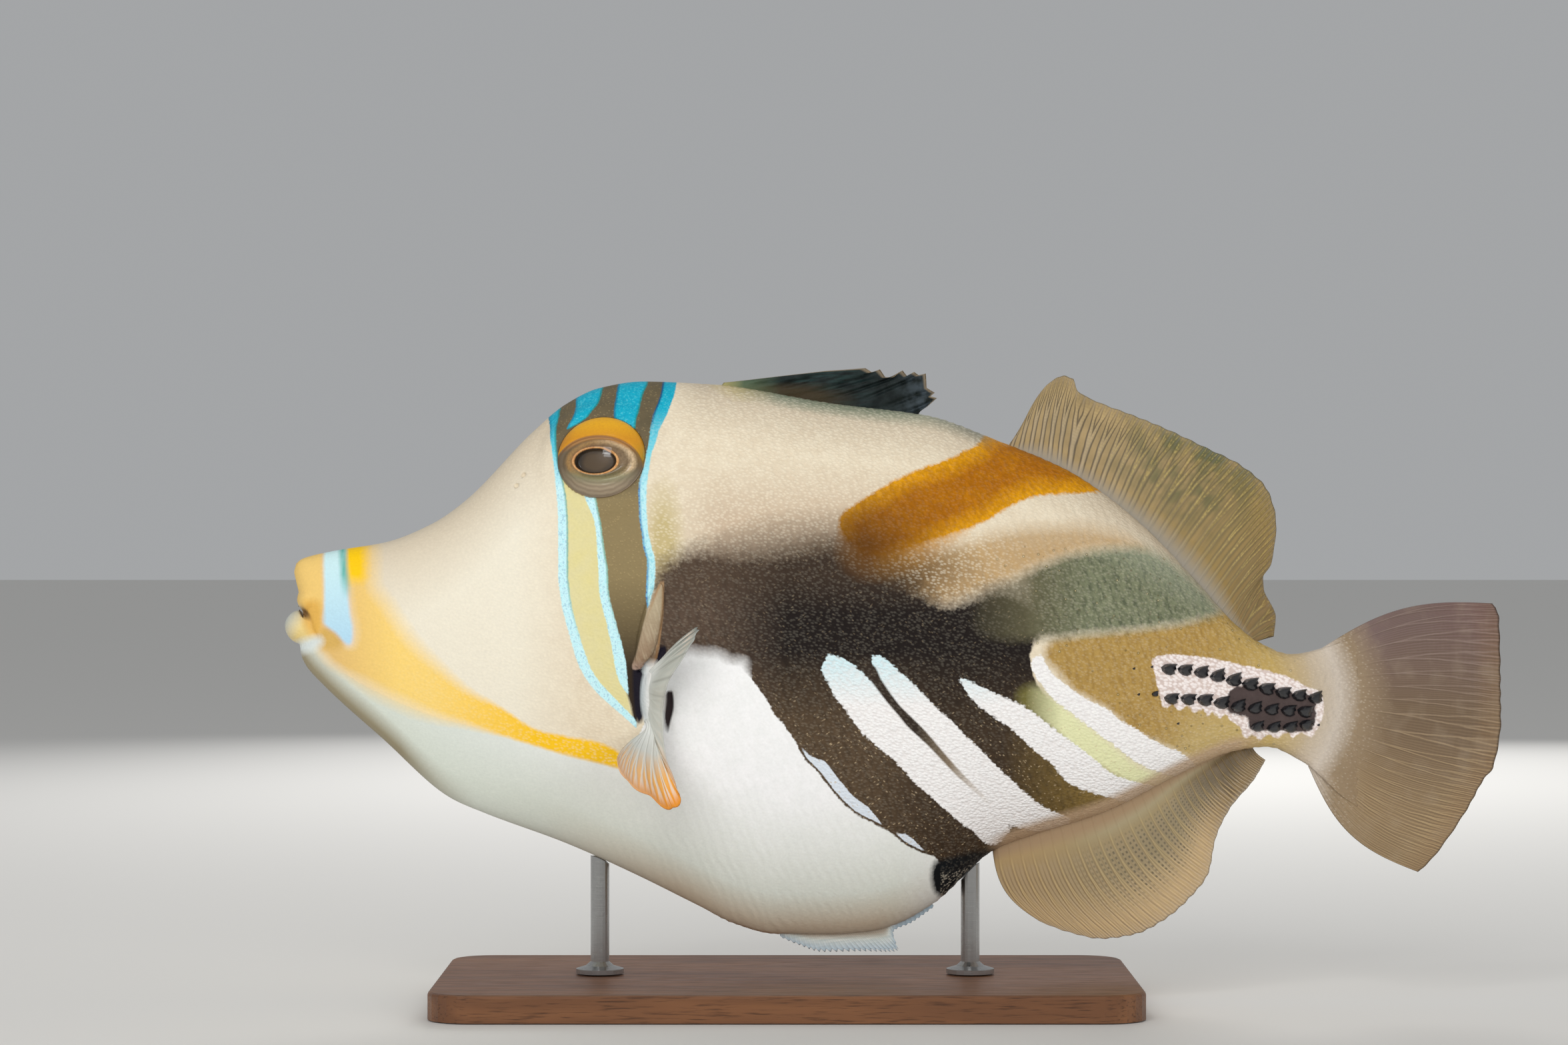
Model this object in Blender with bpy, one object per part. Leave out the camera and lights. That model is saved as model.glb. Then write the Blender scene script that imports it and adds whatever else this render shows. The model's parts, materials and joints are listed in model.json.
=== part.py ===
"""Picasso triggerfish, a life-size still model on a plain display stand.

The fish faces -X with its left flank towards -Y, +Z is up, and the stand's base rests on z = 0.
All sizes are in metres.
"""

import math
from bisect import bisect_right

import bmesh
import bpy
from mathutils import Matrix, Vector

GAP = 0.0003  # kept between neighbouring pieces
LEFT = -1
SIDES = {"left": LEFT, "right": 1}

# The body's side view: (place along the fish, height).
BACK_LINE = (
    (-0.1124, 0.0806),
    (-0.1120, 0.0818),
    (-0.1106, 0.0830),
    (-0.1050, 0.0844),
    (-0.0950, 0.0861),
    (-0.0863, 0.0896),
    (-0.0800, 0.0940),
    (-0.0675, 0.1068),
    (-0.0613, 0.1120),
    (-0.0550, 0.1150),
    (-0.0470, 0.1162),
    (-0.0340, 0.1156),
    (-0.0113, 0.1120),
    (0.0063, 0.1097),
    (0.0200, 0.1048),
    (0.0325, 0.0995),
    (0.0450, 0.0906),
    (0.0575, 0.0778),
    (0.0638, 0.0708),
    (0.0688, 0.0670),
    (0.0744, 0.0650),
    (0.0840, 0.0673),
)
BELLY_LINE = (
    (-0.1124, 0.0680),
    (-0.1106, 0.0638),
    (-0.1069, 0.0595),
    (-0.0956, 0.0492),
    (-0.0831, 0.0382),
    (-0.0769, 0.0354),
    (-0.0613, 0.0296),
    (-0.0488, 0.0240),
    (-0.0363, 0.0178),
    (-0.0300, 0.0147),
    (-0.0220, 0.0127),
    (-0.0125, 0.0126),
    (-0.0050, 0.0131),
    (0.0000, 0.0143),
    (0.0075, 0.0184),
    (0.0188, 0.0284),
    (0.0263, 0.0313),
    (0.0388, 0.0353),
    (0.0575, 0.0446),
    (0.0638, 0.0470),
    (0.0700, 0.0478),
    (0.0763, 0.0452),
    (0.0840, 0.0385),
)
# How thick the body is: (place along the fish, half its width), and the height where it is widest.
HALF_WIDTH_LINE = (
    (-0.1124, 0.0022),
    (-0.1118, 0.0034),
    (-0.1106, 0.0045),
    (-0.1080, 0.0055),
    (-0.1040, 0.0063),
    (-0.0950, 0.0082),
    (-0.0800, 0.0112),
    (-0.0650, 0.0140),
    (-0.0520, 0.0158),
    (-0.0380, 0.0170),
    (-0.0220, 0.0174),
    (0.0000, 0.0165),
    (0.0200, 0.0146),
    (0.0400, 0.0112),
    (0.0550, 0.0078),
    (0.0650, 0.0056),
    (0.0740, 0.0041),
    (0.0840, 0.0026),
)
WIDEST_LINE = (
    (-0.1124, 0.0745),
    (-0.0950, 0.0720),
    (-0.0650, 0.0725),
    (-0.0300, 0.0730),
    (0.0000, 0.0715),
    (0.0300, 0.0650),
    (0.0600, 0.0575),
    (0.0840, 0.0555),
)
# The section's corners: 1 gives an ellipse, more gives a keel, less gives a fuller flank.
UPPER_POWER_LINE = ((-0.1124, 0.70), (-0.0950, 0.95), (-0.0600, 1.15), (0.0300, 1.15), (0.0840, 0.80))
LOWER_POWER_LINE = ((-0.1124, 0.70), (-0.0950, 1.00), (-0.0400, 1.25), (0.0300, 1.25), (0.0840, 0.80))
RIDGE_HALF_WIDTH = 0.0009  # flat strip along the back and the belly that the fins stand on
FLANK_STEPS = 20
SNOUT_STEPS = (0.0, 0.0004, 0.0012, 0.0024, 0.0042)  # rings behind the tip, before the even ones
EVEN_RINGS = 56
SNOUT_TIP = BACK_LINE[0][0]
BODY_END = BACK_LINE[-1][0]

# The mouth: a notch across the snout with the slit of the mouth running back from it.
MOUTH_HEIGHT = 0.0726
MOUTH_NOTCH_DEPTH = 0.0022
MOUTH_NOTCH_REACH = 0.0085
MOUTH_NOTCH_LENGTH = 0.0085
LOWER_LIP_CENTRE = (-0.1106, 0.0701)
LOWER_LIP_RADII = (0.0036, 0.0046, 0.0032)
LOWER_LIP_TILT = math.radians(28)
UPPER_LIP_CENTRE = (-0.1092, 0.0752)
UPPER_LIP_RADII = (0.0026, 0.0055, 0.0030)
MOUTH_SLIT_CENTRE = (-0.1083, 0.0713)
MOUTH_SLIT_RADII = (0.0042, 0.0070, 0.00035)
MOUTH_SLIT_TILT = math.radians(40)

# The head ends at the gill cover's edge, and the tail starts just ahead of its thorny scales.
GILL_LINE = (
    (-0.0416, 0.1300),
    (-0.0418, 0.0800),
    (-0.0426, 0.0720),
    (-0.0440, 0.0650),
    (-0.0486, 0.0614),
    (-0.0508, 0.0500),
    (-0.0480, 0.0000),
)
GILL_GAP_SHIFT = Vector((0.00025, 0, -0.00020))
TAIL_START = 0.0460
TAIL_END_HEIGHTS = (0.1400, 0.0300)
CUT_REACH = 0.0500  # how far the cutting prisms pass the body on either side

EYE_CENTRE = (-0.0543, 0.1018)
EYE_RADIUS_LONG = 0.0085
EYE_RADIUS_TALL = 0.0082
EYE_BULGE = 0.0030
EYE_DEPTH = 0.0068
EYE_SINK = 0.0006
EYE_RIM_RADIUS = 0.0005

GILL_FLAP_CENTRE = (-0.0452, 0.0710)
GILL_FLAP_RADII = (0.0020, 0.0086, 0.0011)
GILL_FLAP_LEAN = math.radians(-18)
NOSTRILS = ((-0.0672, 0.0985), (-0.0655, 0.1003))
NOSTRIL_RADIUS = 0.00055

# Fins: each station is (root's place along the body, margin's place, margin's height).
FIRST_DORSAL_STATIONS = (
    (-0.0330, -0.0318, 0.1160),
    (-0.0300, -0.0238, 0.1166),
    (-0.0270, -0.0113, 0.1180),
    (-0.0240, -0.0050, 0.1186),
    (-0.0190, -0.0022, 0.1184),
    (-0.0150, 0.0016, 0.1180),
    (-0.0100, 0.0062, 0.1176),
    (-0.0050, 0.0078, 0.1143),
    (0.0000, 0.0080, 0.1130),
    (0.0042, 0.0058, 0.1112),
)
SPINE_ROOT = (-0.0262, 0.1159)
SPINE_TIP = (-0.0046, 0.1181)
SPINE_ROOT_RADIUS = 0.0006
SPINE_TIP_RADIUS = 0.0004
SECOND_DORSAL_STATIONS = (
    (0.0213, 0.0319, 0.1174),
    (0.0240, 0.0348, 0.1143),
    (0.0280, 0.0388, 0.1124),
    (0.0360, 0.0481, 0.1087),
    (0.0440, 0.0575, 0.1043),
    (0.0520, 0.0662, 0.0999),
    (0.0570, 0.0706, 0.0952),
    (0.0605, 0.0719, 0.0890),
    (0.0630, 0.0710, 0.0820),
    (0.0646, 0.0695, 0.0793),
    (0.0654, 0.0697, 0.0772),
    (0.0664, 0.0719, 0.0721),
    (0.0674, 0.0716, 0.0683),
)
ANAL_STATIONS = (
    (0.0190, 0.0275, 0.0149),
    (0.0225, 0.0325, 0.0131),
    (0.0270, 0.0388, 0.0118),
    (0.0320, 0.0450, 0.0125),
    (0.0370, 0.0506, 0.0150),
    (0.0420, 0.0556, 0.0190),
    (0.0470, 0.0594, 0.0240),
    (0.0520, 0.0606, 0.0302),
    (0.0570, 0.0631, 0.0359),
    (0.0620, 0.0675, 0.0415),
    (0.0670, 0.0696, 0.0453),
)
PELVIC_STATIONS = (
    (-0.0215, -0.0212, 0.0120),
    (-0.0190, -0.0180, 0.0106),
    (-0.0150, -0.0132, 0.0092),
    (-0.0100, -0.0062, 0.0093),
    (-0.0050, -0.0004, 0.0092),
    (-0.0030, 0.0010, 0.0096),
    (-0.0008, 0.0000, 0.0127),
    (0.0030, 0.0035, 0.0147),
    (0.0055, 0.0060, 0.0164),
    (0.0072, 0.0077, 0.0177),
)
# The tail fin's stations are (share of its root from the top, margin's place, margin's height).
TAIL_FIN_STATIONS = (
    (0.00, 0.1125, 0.0746),
    (0.09, 0.1137, 0.0720),
    (0.25, 0.1140, 0.0620),
    (0.45, 0.1140, 0.0528),
    (0.58, 0.1125, 0.0440),
    (0.64, 0.1106, 0.0415),
    (0.78, 0.1075, 0.0359),
    (0.93, 0.1012, 0.0268),
    (1.00, 0.0985, 0.0241),
)
TAIL_FIN_ROOT_TOP = (0.0800, 0.0660)
TAIL_FIN_ROOT_BOTTOM = (0.0778, 0.0440)
# The breast fin fans out from the flank: (share of its root from the top, margin's x, spread, height).
BREAST_FIN_STATIONS = (
    (0.00, -0.0356, 0.0270, 0.0714),
    (0.25, -0.0408, 0.0330, 0.0668),
    (0.50, -0.0449, 0.0352, 0.0568),
    (0.75, -0.0486, 0.0338, 0.0477),
    (0.90, -0.0447, 0.0300, 0.0415),
    (1.00, -0.0402, 0.0270, 0.0389),
)
BREAST_FIN_ROOT_TOP = (-0.0440, 0.0623)
BREAST_FIN_ROOT_BOTTOM = (-0.0442, 0.0525)
BREAST_FIN_ROOT_DEPTH = 0.0015

# Thorny scales on the tail: (how many, first place and height, last place and height, size).
THORN_ROWS = (
    (10, (0.0504, 0.0629), (0.0782, 0.0571), 0.00145),
    (10, (0.0480, 0.0581), (0.0764, 0.0546), 0.00135),
    (4, (0.0672, 0.0522), (0.0766, 0.0521), 0.00130),
)

STAND_BASE_SIZE = (0.130, 0.074, 0.005)
STAND_BASE_CENTRE = -0.0200
STAND_CORNER_RADIUS = 0.0080
STAND_EDGE_BEVEL = 0.0006
ROD_RADIUS = 0.00175
ROD_FOOT_RADIUS = 0.0045
ROD_FOOT_HEIGHT = 0.0014
ROD_PLACES = {"front": -0.0550, "rear": 0.0144}
ROD_REACH = 0.0030  # how far a rod would run into the body before it is cut to it


def clear_scene():
    for obj in list(bpy.data.objects):
        bpy.data.objects.remove(obj)


def finish(name, colour, roughness, metallic=0.0):
    material = bpy.data.materials.new(name)
    material.use_nodes = True
    shader = material.node_tree.nodes["Principled BSDF"]
    shader.inputs["Base Color"].default_value = (*colour, 1)
    shader.inputs["Roughness"].default_value = roughness
    shader.inputs["Metallic"].default_value = metallic
    return material


def add_object(name, bm, material=None):
    """A new object from the bmesh, which is freed."""
    mesh = bpy.data.meshes.new(name)
    bm.to_mesh(mesh)
    bm.free()
    mesh.shade_smooth()
    mesh.set_sharp_from_angle(angle=math.radians(35))
    obj = bpy.data.objects.new(name, mesh)
    bpy.context.scene.collection.objects.link(obj)
    if material:
        obj.data.materials.append(material)
    return obj


def through(points):
    """A smooth function through (place, value) points, which never swings past them."""
    places = [point[0] for point in points]
    values = [point[1] for point in points]
    spans = [after - before for before, after in zip(places, places[1:])]
    rises = [(b - a) / span for a, b, span in zip(values, values[1:], spans)]
    slopes = [rises[0]]
    for before, after in zip(rises, rises[1:]):
        turns = before * after <= 0
        slopes.append(0 if turns else 2 * before * after / (before + after))
    slopes.append(rises[-1])

    def value(place):
        place = min(max(place, places[0]), places[-1])
        k = min(bisect_right(places, place), len(spans)) - 1
        t = (place - places[k]) / spans[k]
        return (
            values[k] * (1 + 2 * t) * (1 - t) ** 2
            + slopes[k] * spans[k] * t * (1 - t) ** 2
            + values[k + 1] * t * t * (3 - 2 * t)
            + slopes[k + 1] * spans[k] * t * t * (t - 1)
        )

    return value


back_height = through(BACK_LINE)
belly_height = through(BELLY_LINE)
half_width = through(HALF_WIDTH_LINE)
widest_height = through(WIDEST_LINE)
upper_power = through(UPPER_POWER_LINE)
lower_power = through(LOWER_POWER_LINE)


def flank_at_angle(x, angle):
    """(spread, height) of the body's section at x; the angle runs from the back down to the belly."""
    wide = widest_height(x)
    rise = math.sin(angle)
    reach = (back_height(x) if rise > 0 else belly_height(x)) - wide
    power = upper_power(x) if rise > 0 else lower_power(x)
    width = half_width(x)
    ridge = min(RIDGE_HALF_WIDTH, width * 0.6)
    spread = ridge + (width - ridge) * max(math.cos(angle), 0) ** power
    return spread, wide + reach * abs(rise)


def flank_spread(x, z):
    """Half the body's width at that place and height."""
    wide = widest_height(x)
    reach = (back_height(x) if z > wide else belly_height(x)) - wide
    share = min(max((z - wide) / reach, 0), 1)
    return flank_at_angle(x, math.asin(share) * (1 if z > wide else -1))[0]


def on_flank(x, z, side, reach=0.001):
    """A matrix on the flank: X runs along the body to the tail, Y up it and Z out of it.

    It mirrors on the right flank, so both flanks get the same shapes.
    """
    def point(px, pz):
        return Vector((px, side * flank_spread(px, pz), pz))

    along = (point(x + reach, z) - point(x - reach, z)).normalized()
    up = (point(x, z + reach) - point(x, z - reach)).normalized()
    out = along.cross(up).normalized()
    if out.y * side < 0:
        out.negate()
    up = out.cross(along) if side == LEFT else along.cross(out)
    return Matrix.Translation(point(x, z)) @ Matrix((along, up, out)).transposed().to_4x4()


def mouth_notch(x, z):
    """How far the snout's front is drawn back towards the line of the mouth."""
    near = max(0, 1 - abs(z - MOUTH_HEIGHT) / MOUTH_NOTCH_REACH)
    front = max(0, 1 - (x - SNOUT_TIP) / MOUTH_NOTCH_LENGTH)
    return MOUTH_NOTCH_DEPTH * near * front


def body_ring(x):
    angles = [math.pi * (0.5 - step / FLANK_STEPS) for step in range(FLANK_STEPS + 1)]
    half = [flank_at_angle(x, angle) for angle in angles]
    ring = [(x + mouth_notch(x, z), -y, z) for y, z in half]
    ring += [(x + mouth_notch(x, z), y, z) for y, z in reversed(half)]
    return ring


def body_shape(clearance=0.0):
    """The whole body from the snout to the root of the tail fin, swollen by the clearance."""
    last_snout = SNOUT_TIP + SNOUT_STEPS[-1]
    step = (BODY_END - last_snout) / EVEN_RINGS
    places = [SNOUT_TIP + place for place in SNOUT_STEPS]
    places += [last_snout + step * k for k in range(1, EVEN_RINGS + 1)]
    bm = bmesh.new()
    rings = [[bm.verts.new(point) for point in body_ring(x)] for x in places]
    for ring, after in zip(rings, rings[1:]):
        for k in range(len(ring)):
            following = (k + 1) % len(ring)
            bm.faces.new((ring[k], ring[following], after[following], after[k]))
    caps = [bm.faces.new(rings[0][::-1]), bm.faces.new(rings[-1])]
    bmesh.ops.poke(bm, faces=caps)
    bmesh.ops.recalc_face_normals(bm, faces=bm.faces)
    if clearance:
        bm.normal_update()
        moved = [(v, v.normal * clearance * v.calc_shell_factor()) for v in bm.verts]
        for vert, shift in moved:
            vert.co += shift
    return bm


def prism(outline, low, high):
    """A closed solid of a side-view outline, from y = low to y = high."""
    bm = bmesh.new()
    face = bm.faces.new([bm.verts.new((x, low, z)) for x, z in outline])
    made = bmesh.ops.extrude_face_region(bm, geom=[face])["geom"]
    moved = [item for item in made if isinstance(item, bmesh.types.BMVert)]
    bmesh.ops.translate(bm, verts=moved, vec=(0, high - low, 0))
    bmesh.ops.recalc_face_normals(bm, faces=bm.faces)
    return bm


def put(bm, place):
    """Moves the shape to its place, with its faces kept outwards where the place mirrors it."""
    bm.transform(place)
    if place.determinant() < 0:
        bmesh.ops.reverse_faces(bm, faces=bm.faces)


def blob(radii, place, u=16, v=10, depth=None):
    """A round closed form; with a depth its inner half reaches that far along -Z."""
    bm = bmesh.new()
    bmesh.ops.create_uvsphere(bm, u_segments=u, v_segments=v, radius=1)
    bmesh.ops.scale(bm, vec=radii, verts=bm.verts)
    if depth:
        for vert in bm.verts:
            if vert.co.z < 0:
                vert.co.z *= depth / radii[2]
    put(bm, place)
    return bm


def apply_modifiers(obj):
    graph = bpy.context.evaluated_depsgraph_get()
    mesh = bpy.data.meshes.new_from_object(obj.evaluated_get(graph))
    obj.modifiers.clear()
    obj.data = mesh


def keep_largest(obj):
    """Drops every closed surface of the object but the largest one."""
    bm = bmesh.new()
    bm.from_mesh(obj.data)
    left = set(bm.verts)
    groups = []
    while left:
        seed = left.pop()
        group, waiting = {seed}, [seed]
        while waiting:
            for edge in waiting.pop().link_edges:
                for vert in edge.verts:
                    if vert in left:
                        left.remove(vert)
                        group.add(vert)
                        waiting.append(vert)
        groups.append(group)
    groups.sort(key=len)
    for group in groups[:-1]:
        bmesh.ops.delete(bm, geom=list(group), context="VERTS")
    bm.to_mesh(obj.data)
    bm.free()


def combine(obj, shapes, operation, solver="EXACT"):
    """Joins the closed shapes to the object, or cuts them from it, in one Boolean."""
    helpers = bpy.data.collections.new("helpers")
    bpy.context.scene.collection.children.link(helpers)
    for shape in shapes:
        helper = add_object("helper", shape)
        bpy.context.scene.collection.objects.unlink(helper)
        helpers.objects.link(helper)
        helper.hide_render = True
        helper.display_type = "WIRE"
    modifier = obj.modifiers.new("combine", "BOOLEAN")
    modifier.operation = operation
    modifier.solver = solver
    modifier.operand_type = "COLLECTION"
    modifier.collection = helpers
    apply_modifiers(obj)
    for helper in list(helpers.objects):
        bpy.data.objects.remove(helper)
    bpy.data.collections.remove(helpers)
    keep_largest(obj)


def thin_sheet(sheet, columns, rows, half_thickness, normal=None):
    """A thin closed solid on both sides of sheet(s, t), where t runs from the root to the margin.

    Both faces are split into triangles alike. rows are the values of t; s runs from 0 to 1.
    """
    bm = bmesh.new()
    front, rear = [], []
    small = 0.002
    for t in rows:
        front.append([])
        rear.append([])
        for column in range(columns + 1):
            s = column / columns
            point = sheet(s, t)
            out = normal
            if out is None:
                across = sheet(min(s + small, 1), t) - sheet(max(s - small, 0), t)
                along = sheet(s, min(t + small, 1)) - sheet(s, max(t - small, 0))
                out = across.cross(along).normalized()
            out = out * half_thickness(column, s, t)
            front[-1].append(bm.verts.new(point + out))
            rear[-1].append(bm.verts.new(point - out))

    def quad(a, b, c, d):
        bm.faces.new((a, b, c))
        bm.faces.new((a, c, d))

    for low, high in zip(range(len(rows)), range(1, len(rows))):
        for k in range(columns):
            quad(front[low][k], front[low][k + 1], front[high][k + 1], front[high][k])
            bm.faces.new((rear[low][k], rear[high][k + 1], rear[low][k + 1]))
            bm.faces.new((rear[low][k], rear[high][k], rear[high][k + 1]))
        for k in (0, columns):
            quad(front[low][k], front[high][k], rear[high][k], rear[low][k])
    for row in (0, -1):
        for k in range(columns):
            quad(front[row][k], front[row][k + 1], rear[row][k + 1], rear[row][k])
    bmesh.ops.recalc_face_normals(bm, faces=bm.faces)
    return bm


def rayed_thickness(root, membrane, ridge, tip, fleshy=0.12):
    """Half the thickness of a fin whose even columns are rays: a fleshy root, then ridges."""

    def half_thickness(column, s, t):
        flesh = max(0, 1 - t / fleshy)
        raised = 0 if column % 2 else ridge * (1 - 0.6 * t)
        thin = membrane + (tip - membrane) * t + raised * (1 - flesh)
        return thin + (root - thin) * flesh

    return half_thickness


def median_sheet(
    edge, side, stations, bow=0.0, front_bow=0.0, scallop=0.0, rays=1, sway=0.0, waves=1.0
):
    """The middle sheet of a fin along the back (side 1) or the belly (side -1)."""
    margin_x = through([(root, x) for root, x, z in stations])
    margin_z = through([(root, z) for root, x, z in stations])
    first, last = stations[0][0], stations[-1][0]
    small = 0.0005

    def sheet(s, t):
        root = first + (last - first) * s
        slope = Vector((2 * small, 0, edge(root + small) - edge(root - small)))
        lift = Vector((-slope.z, 0, slope.x)).normalized() * side * GAP
        base = Vector((root, 0, edge(root))) + lift
        ray = Vector((margin_x(root), 0, margin_z(root))) - base
        between = 0.5 - 0.5 * math.cos(2 * math.pi * rays * s)
        reach = t * (1 - scallop * between * t)
        bend = bow + front_bow * (1 - s) ** 6
        across = Vector((-ray.z, 0, ray.x)) * side
        point = base + ray * reach + across * bend * math.sin(math.pi * t)
        point.y = sway * math.sin(2 * math.pi * waves * s + 0.6) * t * t
        return point

    return sheet


SKIN = ((0.78, 0.72, 0.60), 0.45)
FIN = ((0.62, 0.52, 0.40), 0.45)
DARK_FIN = ((0.03, 0.05, 0.05), 0.45)
EYE = ((0.55, 0.33, 0.08), 0.12)
ROWS = (0.0, 0.12, 0.3, 0.5, 0.7, 0.88, 1.0)
SIDEWAYS = Vector((0, 1, 0))


def eye_place(side):
    place = on_flank(*EYE_CENTRE, side, reach=EYE_RADIUS_TALL * 0.8)
    return place @ Matrix.Translation((0, 0, -EYE_SINK))


def eye_shape(side, clearance=0.0):
    radii = (EYE_RADIUS_LONG + clearance, EYE_RADIUS_TALL + clearance, EYE_BULGE + clearance)
    return blob(radii, eye_place(side), u=24, v=12, depth=EYE_DEPTH + clearance)


def eye_rim_shape(side):
    """The raised rim of skin round the eye."""
    bm = bmesh.new()
    radius = EYE_RADIUS_LONG + EYE_RIM_RADIUS * 0.4
    profile = bmesh.ops.create_circle(bm, segments=6, radius=EYE_RIM_RADIUS * 1.6)["verts"]
    turned = Matrix.Translation((radius, 0, 0)) @ Matrix.Rotation(math.pi / 2, 4, "X")
    bmesh.ops.transform(bm, matrix=turned, verts=profile)
    bmesh.ops.spin(
        bm, geom=bm.verts[:] + bm.edges[:], axis=(0, 0, 1), cent=(0, 0, 0),
        angle=2 * math.pi, steps=28, use_merge=True,
    )
    bmesh.ops.remove_doubles(bm, verts=bm.verts, dist=0.00001)
    bmesh.ops.recalc_face_normals(bm, faces=bm.faces)
    put(bm, eye_place(side) @ Matrix.Diagonal((1, EYE_RADIUS_TALL / EYE_RADIUS_LONG, 1, 1)))
    return bm


def tilted(centre, tilt):
    x, z = centre
    return Matrix.Translation((x, 0, z)) @ Matrix.Rotation(tilt, 4, "Y")


def nostril_shapes():
    shapes = []
    for side in SIDES.values():
        for x, z in NOSTRILS:
            place = on_flank(x, z, side)
            shapes.append(blob((NOSTRIL_RADIUS,) * 3, place, u=10, v=6))
    return shapes


def gill_flap_shape(side):
    """The leaf that covers the small gill opening, raised on the cheek's rear edge."""
    place = on_flank(*GILL_FLAP_CENTRE, side, reach=0.006)
    return blob(GILL_FLAP_RADII, place @ Matrix.Rotation(GILL_FLAP_LEAN, 4, "Z"), u=14, v=8)


def make_head():
    """Head with lips, the line of the mouth, nostrils, eye sockets and gill covers."""
    front, high, low = -0.13, GILL_LINE[0][1], GILL_LINE[-1][1]
    outline = [(front, high), *GILL_LINE, (front, low)]
    head = add_object("head", body_shape(), finish("head_skin", *SKIN))
    combine(head, [prism(outline, -CUT_REACH, CUT_REACH)], "INTERSECT")
    lips = [
        blob(LOWER_LIP_RADII, tilted(LOWER_LIP_CENTRE, LOWER_LIP_TILT)),
        blob(UPPER_LIP_RADII, tilted(UPPER_LIP_CENTRE, 0)),
    ]
    rims = [eye_rim_shape(side) for side in SIDES.values()]
    flaps = [gill_flap_shape(side) for side in SIDES.values()]
    combine(head, lips + rims + flaps, "UNION")
    slit = blob(MOUTH_SLIT_RADII, tilted(MOUTH_SLIT_CENTRE, MOUTH_SLIT_TILT), u=16, v=6)
    sockets = [eye_shape(side, GAP) for side in SIDES.values()]
    combine(head, [slit] + nostril_shapes() + sockets, "DIFFERENCE")


def make_trunk():
    """The deep, narrow middle of the body, from the gill cover to the root of the tail."""
    gill = [(x + GILL_GAP_SHIFT.x, z + GILL_GAP_SHIFT.z) for x, z in GILL_LINE]
    end = TAIL_START - GAP / 2
    outline = [*gill, (end, gill[-1][1]), (end, gill[0][1])]
    trunk = add_object("trunk", body_shape(), finish("trunk_skin", *SKIN))
    combine(trunk, [prism(outline, -CUT_REACH, CUT_REACH)], "INTERSECT")


def thorn_shape(place, size):
    """One thorny scale: a low plate whose point stands up near its front."""
    bm = bmesh.new()
    bmesh.ops.create_cone(
        bm, cap_ends=True, cap_tris=True, segments=6, radius1=1, radius2=0.12, depth=1
    )
    for vert in bm.verts:
        raised = vert.co.z > 0
        vert.co.x = vert.co.x * 1.15 - (0.75 if raised else 0)
        vert.co.y *= 0.8
        vert.co.z = 0.62 if raised else -0.5
    bmesh.ops.scale(bm, vec=(size,) * 3, verts=bm.verts)
    put(bm, place)
    return bm


def thorn_shapes():
    shapes = []
    for side in SIDES.values():
        for count, first, last, size in THORN_ROWS:
            for k in range(count):
                share = k / (count - 1)
                x = first[0] + (last[0] - first[0]) * share
                z = first[1] + (last[1] - first[1]) * share
                grown = 0.85 + 0.3 * math.sin(math.pi * min(1, 0.25 + share))
                shapes.append(thorn_shape(on_flank(x, z, side), size * grown))
    return shapes


def make_tail():
    """The root of the tail with its rows of thorny scales."""
    start = TAIL_START + GAP / 2
    top, bottom = TAIL_FIN_ROOT_TOP, TAIL_FIN_ROOT_BOTTOM
    slant = (top[0] - bottom[0]) / (top[1] - bottom[1])
    outline = [(start, z) for z in TAIL_END_HEIGHTS]
    outline += [(top[0] + slant * (z - top[1]) - GAP, z) for z in reversed(TAIL_END_HEIGHTS)]
    tail = add_object("tail", body_shape(), finish("tail_skin", *SKIN))
    combine(tail, [prism(outline, -CUT_REACH, CUT_REACH)], "INTERSECT")
    combine(tail, thorn_shapes(), "UNION")


def make_eyes():
    for name, side in SIDES.items():
        add_object("eye_" + name, eye_shape(side), finish("eye_" + name, *EYE))


def make_first_dorsal_fin():
    """The spiny dorsal fin, folded back along the body, with its stout first spine."""
    rays = 7
    sheet = median_sheet(back_height, 1, FIRST_DORSAL_STATIONS, scallop=0.10, rays=rays)
    thickness = rayed_thickness(root=0.0008, membrane=0.0005, ridge=0.0003, tip=0.0003)
    bm = thin_sheet(sheet, rays * 2, (0.0, 0.15, 0.4, 0.7, 1.0), thickness, SIDEWAYS)
    fin = add_object("first_dorsal_fin", bm, finish("first_dorsal", *DARK_FIN))
    spine = bmesh.new()
    root = Vector((SPINE_ROOT[0], 0, SPINE_ROOT[1]))
    tip = Vector((SPINE_TIP[0], 0, SPINE_TIP[1]))
    line = tip - root
    bmesh.ops.create_cone(
        spine, cap_ends=True, cap_tris=True, segments=8,
        radius1=SPINE_ROOT_RADIUS, radius2=SPINE_TIP_RADIUS, depth=line.length,
    )
    turned = line.to_track_quat("Z", "Y").to_matrix().to_4x4()
    spine.transform(Matrix.Translation((root + tip) / 2) @ turned)
    combine(fin, [spine], "UNION")


def make_second_dorsal_fin():
    rays = 25
    sheet = median_sheet(
        back_height, 1, SECOND_DORSAL_STATIONS, bow=0.03, scallop=0.03, rays=rays,
        sway=0.0020, waves=1.1,
    )
    thickness = rayed_thickness(root=0.0009, membrane=0.00025, ridge=0.00028, tip=0.0002)
    bm = thin_sheet(sheet, rays * 2, ROWS, thickness, SIDEWAYS)
    add_object("second_dorsal_fin", bm, finish("second_dorsal", *FIN))


def make_anal_fin():
    rays = 22
    sheet = median_sheet(
        belly_height, -1, ANAL_STATIONS, bow=0.10, front_bow=0.05, scallop=0.03, rays=rays,
        sway=-0.0020, waves=1.1,
    )
    thickness = rayed_thickness(
        root=0.0009, membrane=0.00025, ridge=0.00028, tip=0.0002, fleshy=0.3
    )
    bm = thin_sheet(sheet, rays * 2, ROWS, thickness, SIDEWAYS)
    add_object("anal_fin", bm, finish("anal", *FIN))


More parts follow.
